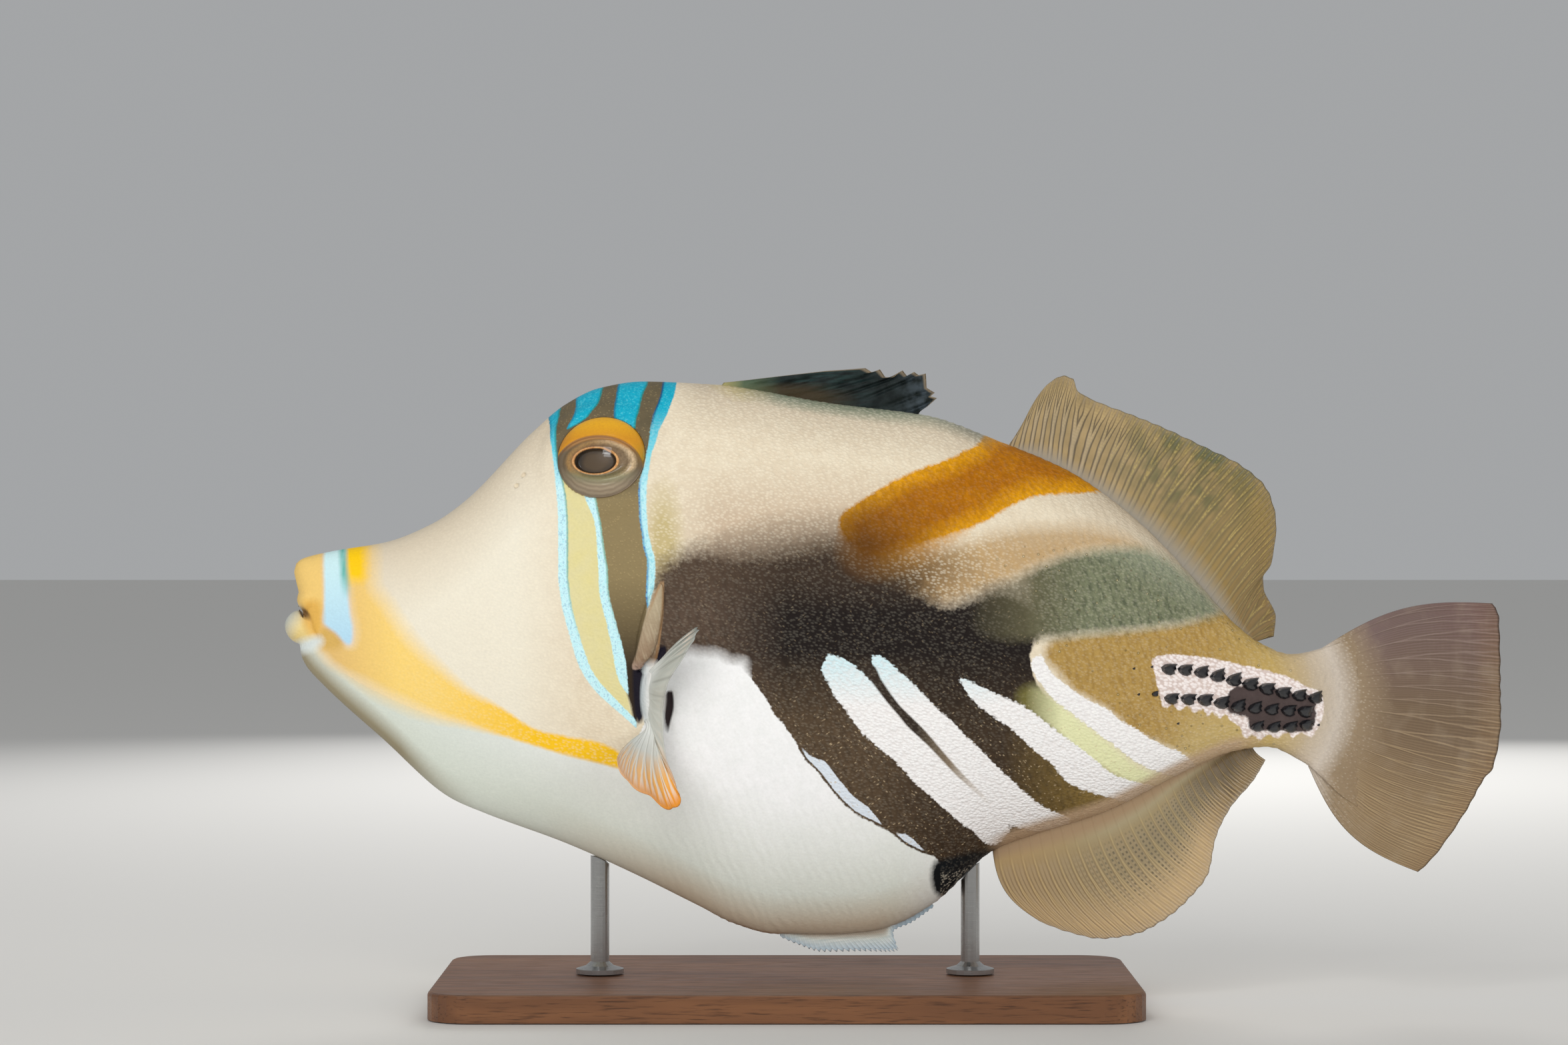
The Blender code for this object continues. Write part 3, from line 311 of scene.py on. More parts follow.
# The markings, as outlines in the side view that a camera level with the body sees from this
# distance. Both flanks carry the same ones.
SIDE_VIEW_DISTANCE = 816.7
SIDE_VIEW_CENTRE = (-20.5, 89.75)
MARKINGS = {
    "belly": (
        (-42.5, 63.8), (-38.8, 65.8), (-36.2, 65.6), (-33.5, 65.5), (-32.0, 65.0), (-30.6, 64.1),
        (-29.0, 64.0), (-27.9, 63.8), (-27.4, 62.4), (-26.5, 60.5), (-25.0, 58.4), (-23.4, 56.1),
        (-22.4, 53.8), (-21.0, 52.5), (-20.0, 51.1), (-18.4, 48.8), (-16.6, 45.4), (-14.2, 43.0),
        (-11.9, 40.0), (-9.4, 37.1), (-6.5, 34.8), (-3.1, 33.1), (-0.2, 31.4), (2.1, 29.5),
        (5.0, 28.0), (8.4, 26.4), (8.8, 20.2), (7.5, 2.8), (-80.0, 2.8), (-120.0, 50.2),
        (-120.0, 65.9), (-111.5, 66.8), (-108.1, 67.4), (-106.2, 64.0), (-103.8, 62.1),
        (-98.8, 59.0), (-92.5, 55.9), (-86.2, 53.4), (-80.0, 51.8), (-73.8, 49.9), (-67.5, 48.0),
        (-61.2, 46.1), (-55.0, 44.6), (-50.6, 44.0), (-47.8, 49.6), (-44.4, 57.8),
    ),
    "dark": (
        (-45.5, 74.6), (-44.5, 80.9), (-37.5, 85.0), (-30.0, 86.5), (-23.8, 87.8), (-17.5, 88.4),
        (-10.6, 89.0), (-6.9, 87.0), (-3.1, 84.2), (0.6, 81.5), (3.5, 78.8), (6.2, 76.2),
        (9.4, 74.6), (12.5, 74.9), (16.2, 76.5), (20.0, 77.8), (25.0, 75.2), (27.8, 70.9),
        (26.5, 67.1), (25.6, 64.0), (27.5, 58.4), (32.5, 53.4), (37.5, 48.4), (43.8, 42.8),
        (50.0, 40.2), (45.0, 36.2), (37.5, 34.2), (32.5, 32.4), (25.0, 30.5), (20.0, 28.0),
        (10.0, 24.0), (1.9, 26.5), (-1.9, 30.0), (-6.9, 32.2), (-10.6, 35.0), (-14.4, 39.0),
        (-18.8, 43.8), (-22.5, 49.0), (-26.2, 55.2), (-30.0, 61.5), (-35.0, 62.8), (-38.8, 62.8),
        (-42.5, 61.5), (-44.4, 67.8),
    ),
    "orange": (
        (-10.2, 89.8), (-9.2, 91.8), (-5.0, 94.5), (-0.6, 97.2), (5.0, 99.8), (10.0, 101.5),
        (13.8, 103.4), (15.6, 104.2), (18.8, 107.1), (27.5, 106.5), (39.4, 97.5), (38.1, 95.5),
        (32.5, 95.2), (26.2, 94.6), (22.5, 93.1), (18.8, 90.9), (15.0, 88.9), (8.8, 86.1),
        (4.6, 83.9), (0.9, 82.4), (-3.1, 81.2), (-6.9, 81.8), (-9.5, 85.9),
    ),
    "tan": (
        (-1.2, 79.0), (7.5, 84.0), (13.8, 85.9), (20.0, 87.8), (27.5, 89.0), (37.5, 89.0),
        (45.0, 86.5), (47.4, 84.6), (38.8, 84.5), (32.5, 83.2), (27.5, 81.5), (22.5, 79.2),
        (17.5, 77.1), (11.2, 75.0), (7.5, 74.6), (2.5, 76.5),
    ),
    "sage": (
        (16.2, 75.9), (20.0, 78.1), (22.5, 79.2), (27.5, 81.5), (32.5, 83.4), (38.8, 84.6),
        (45.0, 85.0), (50.0, 83.8), (56.2, 79.2), (61.2, 73.4), (57.5, 71.5), (50.0, 70.2),
        (45.0, 69.6), (38.8, 69.0), (32.5, 68.4), (27.5, 68.0), (20.0, 67.8), (15.0, 70.2),
    ),
    "ochre": (
        (28.5, 64.6), (29.4, 67.1), (32.5, 68.1), (45.0, 69.6), (55.0, 70.9), (61.2, 73.0),
        (66.2, 72.1), (77.5, 65.2), (77.5, 46.5), (67.5, 44.0), (57.5, 42.8), (56.2, 45.1),
        (51.2, 47.8), (45.0, 50.5), (41.2, 54.0), (37.5, 56.5), (33.8, 58.4), (31.2, 61.5),
    ),
    "streak_5": (
        (27.0, 65.0), (28.1, 64.5), (28.9, 62.6), (31.0, 60.4), (34.0, 58.2), (36.9, 56.4),
        (40.6, 54.5), (42.4, 52.8), (46.5, 50.5), (50.1, 48.2), (53.1, 47.1), (55.6, 45.4),
        (56.5, 43.8), (54.5, 42.5), (52.0, 42.2), (49.0, 43.1), (45.8, 44.6), (42.8, 46.8),
        (39.9, 49.0), (36.9, 51.2), (33.2, 54.1), (30.2, 56.4), (28.0, 59.0), (26.6, 60.8),
        (25.8, 63.5),
    ),
    "streak_4": (
        (12.0, 60.5), (13.1, 60.6), (16.5, 59.1), (19.9, 57.4), (24.2, 55.5), (27.6, 53.2),
        (31.9, 49.8), (36.8, 46.1), (42.0, 42.2), (50.0, 40.0), (49.4, 38.5), (45.0, 37.2),
        (40.5, 38.1), (35.8, 39.5), (32.0, 41.5), (30.0, 44.1), (27.6, 45.9), (24.2, 49.0),
        (21.4, 51.5), (17.0, 54.4), (14.4, 56.9), (13.2, 58.8),
    ),
    "streak_3": (
        (-3.8, 64.9), (-1.8, 64.4), (1.1, 62.0), (3.5, 59.8), (5.9, 57.4), (8.4, 54.8),
        (11.0, 52.6), (13.6, 49.8), (17.0, 46.6), (19.6, 43.9), (22.5, 41.2), (25.6, 38.4),
        (29.0, 36.0), (33.4, 34.0), (28.8, 31.8), (22.5, 32.8), (15.5, 37.8), (10.5, 43.0),
        (5.5, 48.0), (1.5, 51.9), (-1.8, 55.8), (-3.5, 60.0), (-4.0, 62.8),
    ),
    "streak_2": (
        (-12.2, 65.1), (-10.9, 64.9), (-8.5, 63.9), (-6.2, 62.1), (-4.6, 60.5), (-2.2, 58.2),
        (0.8, 54.5), (4.5, 50.9), (8.2, 47.1), (12.5, 42.5), (17.5, 37.1), (21.9, 32.8),
        (20.0, 29.6), (17.5, 29.5), (14.6, 31.9), (11.2, 34.5), (7.9, 37.4), (4.8, 40.1),
        (2.1, 43.0), (-0.5, 45.6), (-3.4, 48.0), (-6.5, 50.9), (-9.2, 54.8), (-10.9, 56.9),
        (-11.9, 58.9), (-13.0, 61.0), (-13.5, 62.5),
    ),
    "lime": (
        (23.4, 57.9), (26.6, 59.2), (30.2, 56.8), (38.8, 50.1), (46.1, 44.2), (52.0, 42.4),
        (56.2, 42.8), (55.0, 41.2), (50.9, 40.5), (48.0, 40.1), (44.2, 40.9), (36.9, 45.0),
        (28.1, 52.2), (24.0, 55.2),
    ),
    "vent": (
        (7.5, 25.8), (10.0, 26.8), (13.1, 27.6), (16.0, 28.2), (18.8, 28.2), (17.5, 26.5),
        (15.2, 25.0), (13.8, 23.0), (12.2, 20.8), (10.0, 19.5), (8.0, 20.2), (7.2, 22.5),
    ),
    "crown": (
        (-63.8, 112.8), (-57.5, 118.4), (-41.8, 119.2), (-42.1, 113.6), (-43.5, 110.4),
        (-44.6, 107.1), (-45.8, 104.5), (-46.5, 101.5), (-55.0, 100.2), (-63.4, 101.5),
        (-63.6, 107.8),
    ),
    "bar": (
        (-57.1, 96.5), (-54.4, 99.5), (-46.8, 100.2), (-47.0, 94.0), (-46.9, 90.6), (-46.5, 87.4),
        (-45.8, 84.1), (-45.4, 80.6), (-45.5, 77.5), (-45.9, 74.6), (-46.4, 71.5), (-47.1, 67.8),
        (-47.9, 64.0), (-48.4, 61.5), (-48.4, 58.4), (-47.9, 55.2), (-47.9, 51.8), (-48.6, 51.8),
        (-49.2, 55.2), (-50.0, 58.0), (-50.6, 60.2), (-51.1, 63.4), (-51.8, 66.5), (-52.8, 70.2),
        (-53.5, 74.4), (-54.2, 77.5), (-54.4, 80.8), (-54.8, 84.1), (-55.1, 87.4), (-55.5, 90.2),
        (-56.0, 92.0), (-56.6, 94.0),
    ),
    "straw": (
        (-62.5, 98.4), (-60.6, 97.8), (-58.8, 95.9), (-56.9, 94.2), (-56.0, 92.0), (-55.1, 87.4),
        (-54.4, 80.8), (-54.2, 77.5), (-53.5, 74.4), (-52.8, 70.2), (-51.8, 66.5), (-51.1, 63.4),
        (-50.6, 60.2), (-49.9, 58.0), (-48.6, 52.5), (-48.2, 51.5), (-51.6, 55.2), (-54.4, 57.8),
        (-56.5, 60.2), (-58.0, 62.8), (-60.0, 69.0), (-61.5, 75.2), (-61.9, 80.8), (-61.9, 87.4),
        (-62.1, 94.0),
    ),
    "cheek": (
        (-103.1, 85.9), (-98.0, 85.9), (-97.5, 79.0), (-96.8, 76.8), (-95.0, 74.6), (-92.9, 71.2),
        (-90.6, 68.1), (-87.2, 64.6), (-80.0, 58.4), (-73.8, 55.2), (-67.5, 51.1), (-61.2, 49.6),
        (-55.0, 48.4), (-50.6, 45.9), (-50.5, 43.6), (-55.0, 44.6), (-61.2, 46.1), (-67.5, 48.0),
        (-73.8, 49.9), (-80.0, 51.8), (-86.2, 53.4), (-92.5, 55.9), (-98.8, 59.0), (-103.8, 62.1),
        (-106.2, 64.0), (-108.1, 67.1), (-107.2, 71.5), (-105.0, 69.6), (-102.5, 67.0),
        (-101.6, 67.5), (-101.5, 70.2), (-102.0, 72.8), (-102.5, 77.8),
    ),
    "snout_patch": (
        (-103.4, 85.9), (-99.4, 86.8), (-98.9, 82.8), (-99.2, 79.2), (-101.2, 78.8),
        (-102.4, 79.2), (-103.0, 82.8),
    ),
    "snout": (
        (-117.5, 85.9), (-106.6, 85.9), (-106.6, 75.2), (-107.0, 71.5), (-107.8, 68.8),
        (-109.0, 68.8), (-109.8, 72.1), (-111.5, 73.8), (-113.8, 74.6), (-117.5, 77.8),
    ),
    "snout_band": (
        (-106.5, 85.5), (-103.0, 85.9), (-102.9, 81.5), (-102.5, 77.8), (-102.0, 72.8),
        (-101.5, 70.2), (-101.6, 67.5), (-102.5, 67.0), (-104.4, 69.0), (-106.0, 70.2),
        (-107.0, 71.5), (-106.6, 75.2),
    ),
    "snout_band_edge": (
        (-103.8, 85.9), (-102.8, 85.9), (-102.5, 81.5), (-102.0, 77.8), (-101.9, 74.6),
        (-102.9, 74.6), (-103.4, 77.8), (-103.6, 81.5),
    ),
    "lip_corner": (
        (-110.6, 74.6), (-109.2, 75.2), (-107.5, 74.6), (-107.0, 71.5), (-107.9, 68.4),
        (-109.5, 68.8), (-110.5, 70.9),
    ),
    "lower_lip": (
        (-112.5, 74.5), (-111.0, 73.5), (-109.8, 72.1), (-109.0, 69.6), (-108.5, 68.0),
        (-111.6, 66.5), (-115.0, 67.1), (-116.2, 70.2), (-115.0, 73.8),
    ),
    "lip_spot": (
        (-111.5, 67.5), (-107.8, 68.4), (-107.0, 67.2), (-108.8, 65.8), (-111.8, 65.2),
        (-112.8, 66.2),
    ),
    "gill_flap": (
        (-43.2, 79.2), (-44.6, 76.8), (-45.6, 74.2), (-46.5, 72.0), (-47.4, 68.5), (-48.2, 65.2),
        (-49.0, 62.8), (-48.4, 62.0), (-46.5, 62.5), (-44.8, 63.5), (-44.0, 66.0), (-43.5, 69.5),
        (-43.1, 73.1), (-43.0, 76.8),
    ),
    "gill_slot": (
        (-48.9, 61.2), (-48.6, 62.4), (-46.0, 63.8), (-44.4, 65.2), (-43.6, 66.8), (-42.6, 66.2),
        (-42.8, 64.6), (-44.4, 62.8), (-46.1, 60.9), (-47.0, 58.2), (-47.1, 55.8), (-46.9, 53.5),
        (-47.5, 51.8), (-48.4, 53.5), (-48.8, 57.1),
    ),
    "fin_slot": (
        (-42.6, 57.8), (-41.5, 58.1), (-41.2, 55.2), (-41.8, 52.5), (-42.5, 50.0), (-42.9, 52.1),
        (-42.9, 56.5),
    ),
    "saddle": (
        (-33.8, 117.8), (-30.0, 113.8), (-23.8, 113.0), (-17.5, 111.8), (-5.0, 110.0),
        (7.5, 107.8), (17.5, 104.2), (20.0, 107.8), (7.5, 117.8), (-17.5, 120.2),
    ),
    "halo": (
        (48.5, 64.0), (52.0, 65.0), (58.2, 64.5), (63.8, 63.4), (69.2, 62.1), (74.0, 60.8),
        (77.4, 59.0), (80.0, 57.8), (80.6, 54.0), (78.5, 49.5), (76.6, 50.4), (74.8, 49.4),
        (73.8, 50.5), (71.8, 49.2), (70.4, 50.2), (68.8, 48.9), (67.4, 50.1), (65.8, 49.2),
        (65.0, 51.5), (63.4, 52.4), (62.2, 53.8), (61.1, 53.0), (60.0, 54.5), (59.0, 53.2),
        (57.9, 55.0), (56.4, 53.9), (55.2, 55.5), (53.5, 54.2), (52.5, 55.8), (51.0, 54.8),
        (50.1, 56.5), (49.2, 60.5),
    ),
    "thorn_ground": (
        (64.9, 59.1), (70.0, 59.0), (75.0, 57.8), (78.8, 56.9), (78.5, 51.0), (72.5, 50.8),
        (67.0, 51.0), (66.4, 53.2), (63.0, 54.2), (62.6, 57.2),
    ),
}

UNITED = {"streaks": ("streak_2", "streak_3", "streak_4", "streak_5")}
# Narrow lines that run down the flank, as points of (height, place along, half the width).
LINES = {
    "crown_stripe_1": (
        (106.8, -61.0, 0.05), (107.1, -60.6, 0.35), (108.1, -59.5, 0.9), (108.9, -58.6, 1.25),
        (109.8, -58.1, 1.5), (111.8, -57.4, 2.15), (113.1, -57.2, 2.3), (114.6, -56.5, 2.0),
        (117.8, -55.6, 2.2),
    ),
    "crown_stripe_2": (
        (106.0, -50.5, 2.0), (108.8, -50.2, 2.1), (110.4, -50.0, 2.3), (113.6, -49.5, 2.5),
        (116.0, -48.8, 2.8), (118.4, -48.6, 2.9),
    ),
    "blue_1": (
        (51.2, -48.1, 0.1), (52.8, -49.2, 0.8), (55.2, -51.7, 1.05), (57.8, -54.4, 1.2),
        (60.2, -56.4, 1.05), (62.8, -57.9, 1.05), (69.0, -59.9, 0.95), (75.2, -61.4, 0.95),
        (80.8, -61.9, 0.97), (87.4, -61.9, 0.97), (94.0, -62.1, 0.94), (97.2, -62.5, 0.75),
        (99.6, -62.9, 0.56), (101.9, -63.2, 0.44), (105.5, -63.5, 0.62), (107.8, -63.6, 0.82),
        (110.4, -63.7, 1.2), (112.8, -63.5, 1.75),
    ),
    "blue_2": (
        (57.5, -49.7, 0.05), (58.7, -50.2, 0.5), (60.2, -50.7, 0.85), (63.4, -51.2, 1.1),
        (66.5, -51.8, 1.05), (70.2, -52.7, 0.95), (77.5, -54.3, 0.91), (80.8, -54.4, 0.9),
        (84.1, -54.8, 0.75), (87.4, -55.1, 0.6), (90.6, -55.6, 0.65), (92.0, -56.0, 0.78),
        (94.0, -56.6, 1.0), (96.0, -57.1, 1.0),
    ),
    "blue_3": (
        (73.6, -46.1, 0.05), (74.6, -46.0, 0.3), (75.9, -45.9, 0.55), (77.5, -45.6, 0.75),
        (79.0, -45.5, 0.8), (82.1, -45.4, 0.78), (85.2, -46.1, 0.8), (87.4, -46.5, 0.65),
        (90.6, -46.9, 0.72), (94.0, -47.0, 0.72), (95.2, -47.0, 0.78), (97.4, -46.8, 0.75),
        (99.2, -46.4, 0.6), (100.5, -46.1, 0.5), (102.5, -45.8, 0.5), (104.5, -45.2, 0.65),
        (107.1, -44.7, 0.85), (110.4, -43.6, 1.3), (113.6, -42.4, 1.3), (116.4, -41.9, 1.33),
        (118.4, -41.7, 1.5),
    ),
    "rift": (
        (32.9, 22.1, 0.55), (38.9, 16.2, 0.6), (41.5, 13.4, 0.75), (44.4, 10.6, 0.85),
        (47.5, 7.8, 0.95), (49.6, 5.8, 1.2), (51.4, 4.0, 1.35), (53.8, 1.8, 1.1),
        (55.5, 0.2, 1.0), (59.8, -3.0, 1.1), (62.4, -4.8, 1.7),
    ),
}
# Ovals, each as its centre, half its length and height, and its lean in degrees.
OVALS = {
    # the mouth's oval is painted shadow between the lips
    "mouth": ((-110.5, 72.7), (1.1, 0.5), -50),
    "mouth_pad": ((-105.4, 68.2), (2.8, 2.3), 0),
    "fin_root": ((-45.1, 57.2), (2.4, 6.4), 0),
    "straw_patch": ((-43.2, 86.0), (3.0, 9.0), 0),
    "scorch": ((-4.0, 80.5), (16.0, 6.0), 0),
}


def side_view(x, y, z):
    nearer = 1 - np.abs(y) / SIDE_VIEW_DISTANCE
    centre_x, centre_z = SIDE_VIEW_CENTRE
    return centre_x + (x - centre_x) / nearer, centre_z + (z - centre_z) / nearer


def depth_inside(outline, x, z):
    """How far each point lies inside the closed outline; outside it the number is negative."""
    nearest = np.full(x.shape, 1e9)
    inside = np.zeros(x.shape, bool)
    for (ax, az), (bx, bz) in zip(outline, outline[1:] + outline[:1]):
        length = (bx - ax) ** 2 + (bz - az) ** 2
        share = np.clip(((x - ax) * (bx - ax) + (z - az) * (bz - az)) / length, 0, 1)
        away = np.hypot(x - ax - share * (bx - ax), z - az - share * (bz - az))
        nearest = np.minimum(nearest, away)
        if az != bz:
            inside ^= ((az > z) != (bz > z)) & (x < ax + (z - az) * (bx - ax) / (bz - az))
    return np.where(inside, nearest, -nearest)


def rounded(outline, steps=4):
    """The closed outline with a smooth curve through its points."""
    points = np.array(outline)
    before, after = np.roll(points, 1, 0), np.roll(points, -1, 0)
    far = np.roll(points, -2, 0)
    made = []
    for k in range(len(points)):
        for step in range(steps):
            t = step / steps
            made.append(tuple(0.5 * (
                2 * points[k]
                + (after[k] - before[k]) * t
                + (2 * before[k] - 5 * points[k] + 4 * after[k] - far[k]) * t**2
                + (3 * points[k] - before[k] - 3 * after[k] + far[k]) * t**3
            )))
    return tuple(made)


def gentle(value, low, high):
    """0 below low and 1 above high, with a smooth turn between them."""
    t = np.clip((value - low) / (high - low), 0, 1)
    return t * t * (3 - 2 * t)


EYE_PLACE = (-54.3, 101.8)
EYE_RADIUS_LONG = 8.5
EYE_RADIUS_TALL = 8.2
EYE_SINK = 0.6
PLATE_LENGTH = 1.9
PLATE_HEIGHT = 1.7
PLATE_RELIEF = 0.07
SOCKET_DEPTH = 4.5
FIN_BASE = ((-45.1, 57.0), (2.3, 7.0))  # centre and half axes of the bulge under the breast fin
FIN_BASE_BULGE = 1.3
GILL_SLOT_DEPTH = 0.9
FIN_SLOT_DEPTH = 0.8
LIP_CREASE = ("lower_lip", 0.35, 0.45)  # the outline it follows, its depth and half its width


def eye_place(side):
    place = on_flank(*EYE_PLACE, side, reach=EYE_RADIUS_TALL * 0.8)
    return place @ Matrix.Translation((0, 0, -EYE_SINK))


def relief(points, x, z, depths):
    """How far the hide stands out from its smooth form; x and z are the side view's."""
    plates = np.cos(math.pi * ((x + 0.35 * z) / PLATE_LENGTH + z / PLATE_HEIGHT))
    plates *= np.cos(math.pi * ((x + 0.35 * z) / PLATE_LENGTH - z / PLATE_HEIGHT))
    on_body = gentle(x, -42, -36) * gentle(depths["belly"], 1.0, -3.0)
    out = PLATE_RELIEF * plates**2 * on_body

    for side in SIDES.values():
        back = np.array(eye_place(side).inverted())
        local = points @ back[:3, :3].T + back[:3, 3]
        round_eye = np.hypot(local[:, 0] / EYE_RADIUS_LONG, local[:, 1] / EYE_RADIUS_TALL)
        round_eye = np.where(points[:, 1] * side > 0, round_eye, 9)
        out += (EYE_SINK - local[:, 2]) * gentle(round_eye, 1.55, 1.0)
        out -= SOCKET_DEPTH * gentle(round_eye, 0.93, 0.75)

    (base_x, base_z), (long, tall) = FIN_BASE
    base = np.hypot((x - base_x) / long, (z - base_z) / tall)
    out += FIN_BASE_BULGE * gentle(base, 1.1, 0.3)
    out -= GILL_SLOT_DEPTH * gentle(depths["gill_slot"], -0.35, 0.5)
    out -= FIN_SLOT_DEPTH * gentle(depths["fin_slot"], -0.35, 0.4)
    outline, crease, width = LIP_CREASE
    out -= crease * np.exp(-((depths[outline] / width) ** 2)) * gentle(x, -113, -110)
    return out


ALONG_BACK = 2.0  # how near the ridge the small plates stand up in its outline
BEAD_LENGTH = 1.5  # of the plates that show there, and their height
BEAD_HEIGHT = 0.16


def dress_hide(obj):
    """Stores how deep each point lies in each marking, and raises the relief."""
    mesh = obj.data
    count = len(mesh.vertices)
    points = np.empty(count * 3)
    mesh.vertices.foreach_get("co", points)
    points = points.reshape(-1, 3)
    normals = np.empty(count * 3)
    mesh.vertex_normals.foreach_get("vector", normals)
    normals = normals.reshape(-1, 3)
    x, z = side_view(*points.T)
    depths = {name: depth_inside(rounded(outline), x, z) for name, outline in MARKINGS.items()}
    for name, members in UNITED.items():
        depths[name] = np.max([depths[member] for member in members], axis=0)
    depths["over_belly"] = z - belly_height(x)
    depths["under_back"] = back_height(x) - z
    for name, line in LINES.items():
        heights, places, halves = zip(*line)
        beyond = np.maximum(heights[0] - z, 0) + np.maximum(z - heights[-1], 0)
        half = through(list(zip(heights, halves)))(z) - beyond
        offset = x - through(list(zip(heights, places)))(z)
        stored = mesh.attributes.new(name, "FLOAT_VECTOR", "POINT")
        columns = np.column_stack([offset, half, z]).astype(np.float32)
        stored.data.foreach_set("vector", columns.ravel())
    for name, ((centre_x, centre_z), (long, tall), lean) in OVALS.items():
        turn = math.radians(lean)
        along = (x - centre_x) * math.cos(turn) + (z - centre_z) * math.sin(turn)
        up = (z - centre_z) * math.cos(turn) - (x - centre_x) * math.sin(turn)
        depths[name] = (1 - np.hypot(along / long, up / tall)) * min(long, tall)
    grouped = {member for members in UNITED.values() for member in members}
    for name in sorted(set(depths) - grouped):
        stored = mesh.attributes.new(name, "FLOAT", "POINT")
        stored.data.foreach_set("value", depths[name].astype(np.float32))
    out = relief(points, x, z, depths)
    ridge = gentle(np.abs(points[:, 1]), ALONG_BACK, 0.6) * gentle(x, -36, -30)
    ridge *= gentle(x, 80, 72)
    out += BEAD_HEIGHT * ridge * np.abs(np.sin(math.pi * points[:, 0] / BEAD_LENGTH))
    points += normals * out[:, None]
    mesh.vertices.foreach_set("co", points.reshape(-1))
    mesh.update()


class Socket:
    """An output of a material's nodes. Arithmetic on it adds Math nodes, and node() adds any other."""

    def __init__(self, tree, output):
        self.tree = tree
        self.output = output

    def node(self, kind, settings=None, inputs=None, output=0):
        made = self.tree.nodes.new("ShaderNode" + kind)
        for name, value in (settings or {}).items():
            setattr(made, name, value)
        for name, value in (inputs or {}).items():
            if isinstance(value, Socket):
                self.tree.links.new(value.output, made.inputs[name])
            else:
                made.inputs[name].default_value = value
        return Socket(self.tree, made.outputs[output])

    def math(self, operation, *values, **settings):
        settings["operation"] = operation
        return self.node("Math", settings, dict(enumerate(values)))

    def __add__(self, other):
        return self.math("ADD", self, other)

    def __sub__(self, other):
        return self.math("SUBTRACT", self, other)

    def __rsub__(self, other):
        return self.math("SUBTRACT", other, self)

    def __mul__(self, other):
        return self.math("MULTIPLY", self, other)

    def __truediv__(self, other):
        return self.math("DIVIDE", self, other)

    def __pow__(self, other):
        return self.math("POWER", self, other)

    __radd__ = __add__
    __rmul__ = __mul__

    def cosine(self):
        return self.math("COSINE", self)

    def size(self):
        return self.math("ABSOLUTE", self)

    def lesser(self, other):
        return self.math("MINIMUM", self, other)

    def clamped(self):
        return self.math("ADD", self, 0.0, use_clamp=True)

    def rising(self, low, high):
        """0 at low and 1 at high, straight between them and level outside; it falls if low is more."""
        return ((self - low) / (high - low)).clamped()

    def mixed(self, under, over, blend="MIX"):
        """The colour or value over laid on under by this factor."""
        settings = {"data_type": "RGBA", "blend_type": blend}
        return self.node("Mix", settings, {0: self, 6: under, 7: over}, output=2)

    def painted(self, mask, red, green, blue):
        """This colour with another over it, laid on by that mask."""
        return mask.mixed(self, tint(red, green, blue))

    def noise(self, size, detail=2.0, roughness=0.5):
        """Noise with patches about that many millimetres across, read at this vector."""
        sizes = {"Vector": self, "Scale": 1 / (size * MM), "Detail": detail, "Roughness": roughness}
        return self.node("TexNoise", {}, sizes)

    def cells(self, size, feature="F1", output=0):
        """Cells about that many millimetres across, read at this vector."""
        sizes = {"Vector": self, "Scale": 1 / (size * MM)}
        return self.node("TexVoronoi", {"feature": feature}, sizes, output)

    def drawn_out(self, turn, long, tall=1.0):
        """This vector, with patterns on it drawn out along X and Z after a turn about Y in degrees."""
        turned = {"Vector": self, "Rotation": (0, math.radians(turn), 0), "Scale": (long, 1, tall)}
        return self.node("Mapping", {"vector_type": "TEXTURE"}, turned)

    def attribute(self, name, output="Fac"):
        return self.node("Attribute", {"attribute_name": name}, output=output)

    def into(self, name):
        """Leads this output to the material's Principled shader."""
        self.tree.links.new(self.output, self.tree.nodes["Principled BSDF"].inputs[name])

    def as_bump(self, height, strength=1.0):
        """Makes this the surface's fine relief, height millimetres from 0 to 1."""
        sizes = {"Height": self, "Distance": height * MM, "Strength": strength}
        self.node("Bump", {}, sizes).into("Normal")


def new_material(name, constants=None):
    """A new material, and its object coordinates as a Socket."""
    material = bpy.data.materials.new(name)
    material.use_nodes = True
    shader = material.node_tree.nodes["Principled BSDF"]
    for key, value in (constants or {}).items():
        shader.inputs[key].default_value = value
    return material, Socket(material.node_tree, None).node("TexCoord", output="Object")


def parts_of(vector):
    """The vector's three numbers."""
    return [vector.node("SeparateXYZ", {}, {0: vector}, axis) for axis in "XYZ"]


def tint(red, green, blue):
    """A colour from the 0 to 255 numbers that a screen shows it with."""
    def linear(value):
        value /= 255
        return value / 12.92 if value <= 0.04045 else ((value + 0.055) / 1.055) ** 2.4
    return (linear(red), linear(green), linear(blue), 1.0)


def finished(obj, body, material, slot, *nodes):
    """Brings the piece from millimetres to metres, and ties it to the frame."""
    obj.data.transform(Matrix.Scale(MM, 4))
    obj.data.shade_smooth()
    obj.data.materials.clear()
    obj.data.materials.append(material)
    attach(obj, body)
    if nodes:
        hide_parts(*nodes)


def tail_root(x, z, grain, colour, skin):
    """The whitish, grainy flesh at the tail fin's root laid over a colour, then the fin's skin."""
    bowed = ((z - 57) * (z - 57)).lesser(200)
    reach = x + bowed * 0.026 + (grain - 0.4) * 1.2
    flesh = reach.rising(78.0, 84.0).mixed(tint(190, 172, 144), tint(204, 192, 178))
    flesh = flesh.painted(reach.rising(83.5, 88.0), 152, 132, 106)
    flesh = flesh.painted(grain.rising(0.35, 0.1) * 0.3, 226, 214, 196)
    colour = reach.rising(72.0, 79.0).mixed(colour, flesh)
    return reach.rising(88.0, 94.0).mixed(colour, skin)


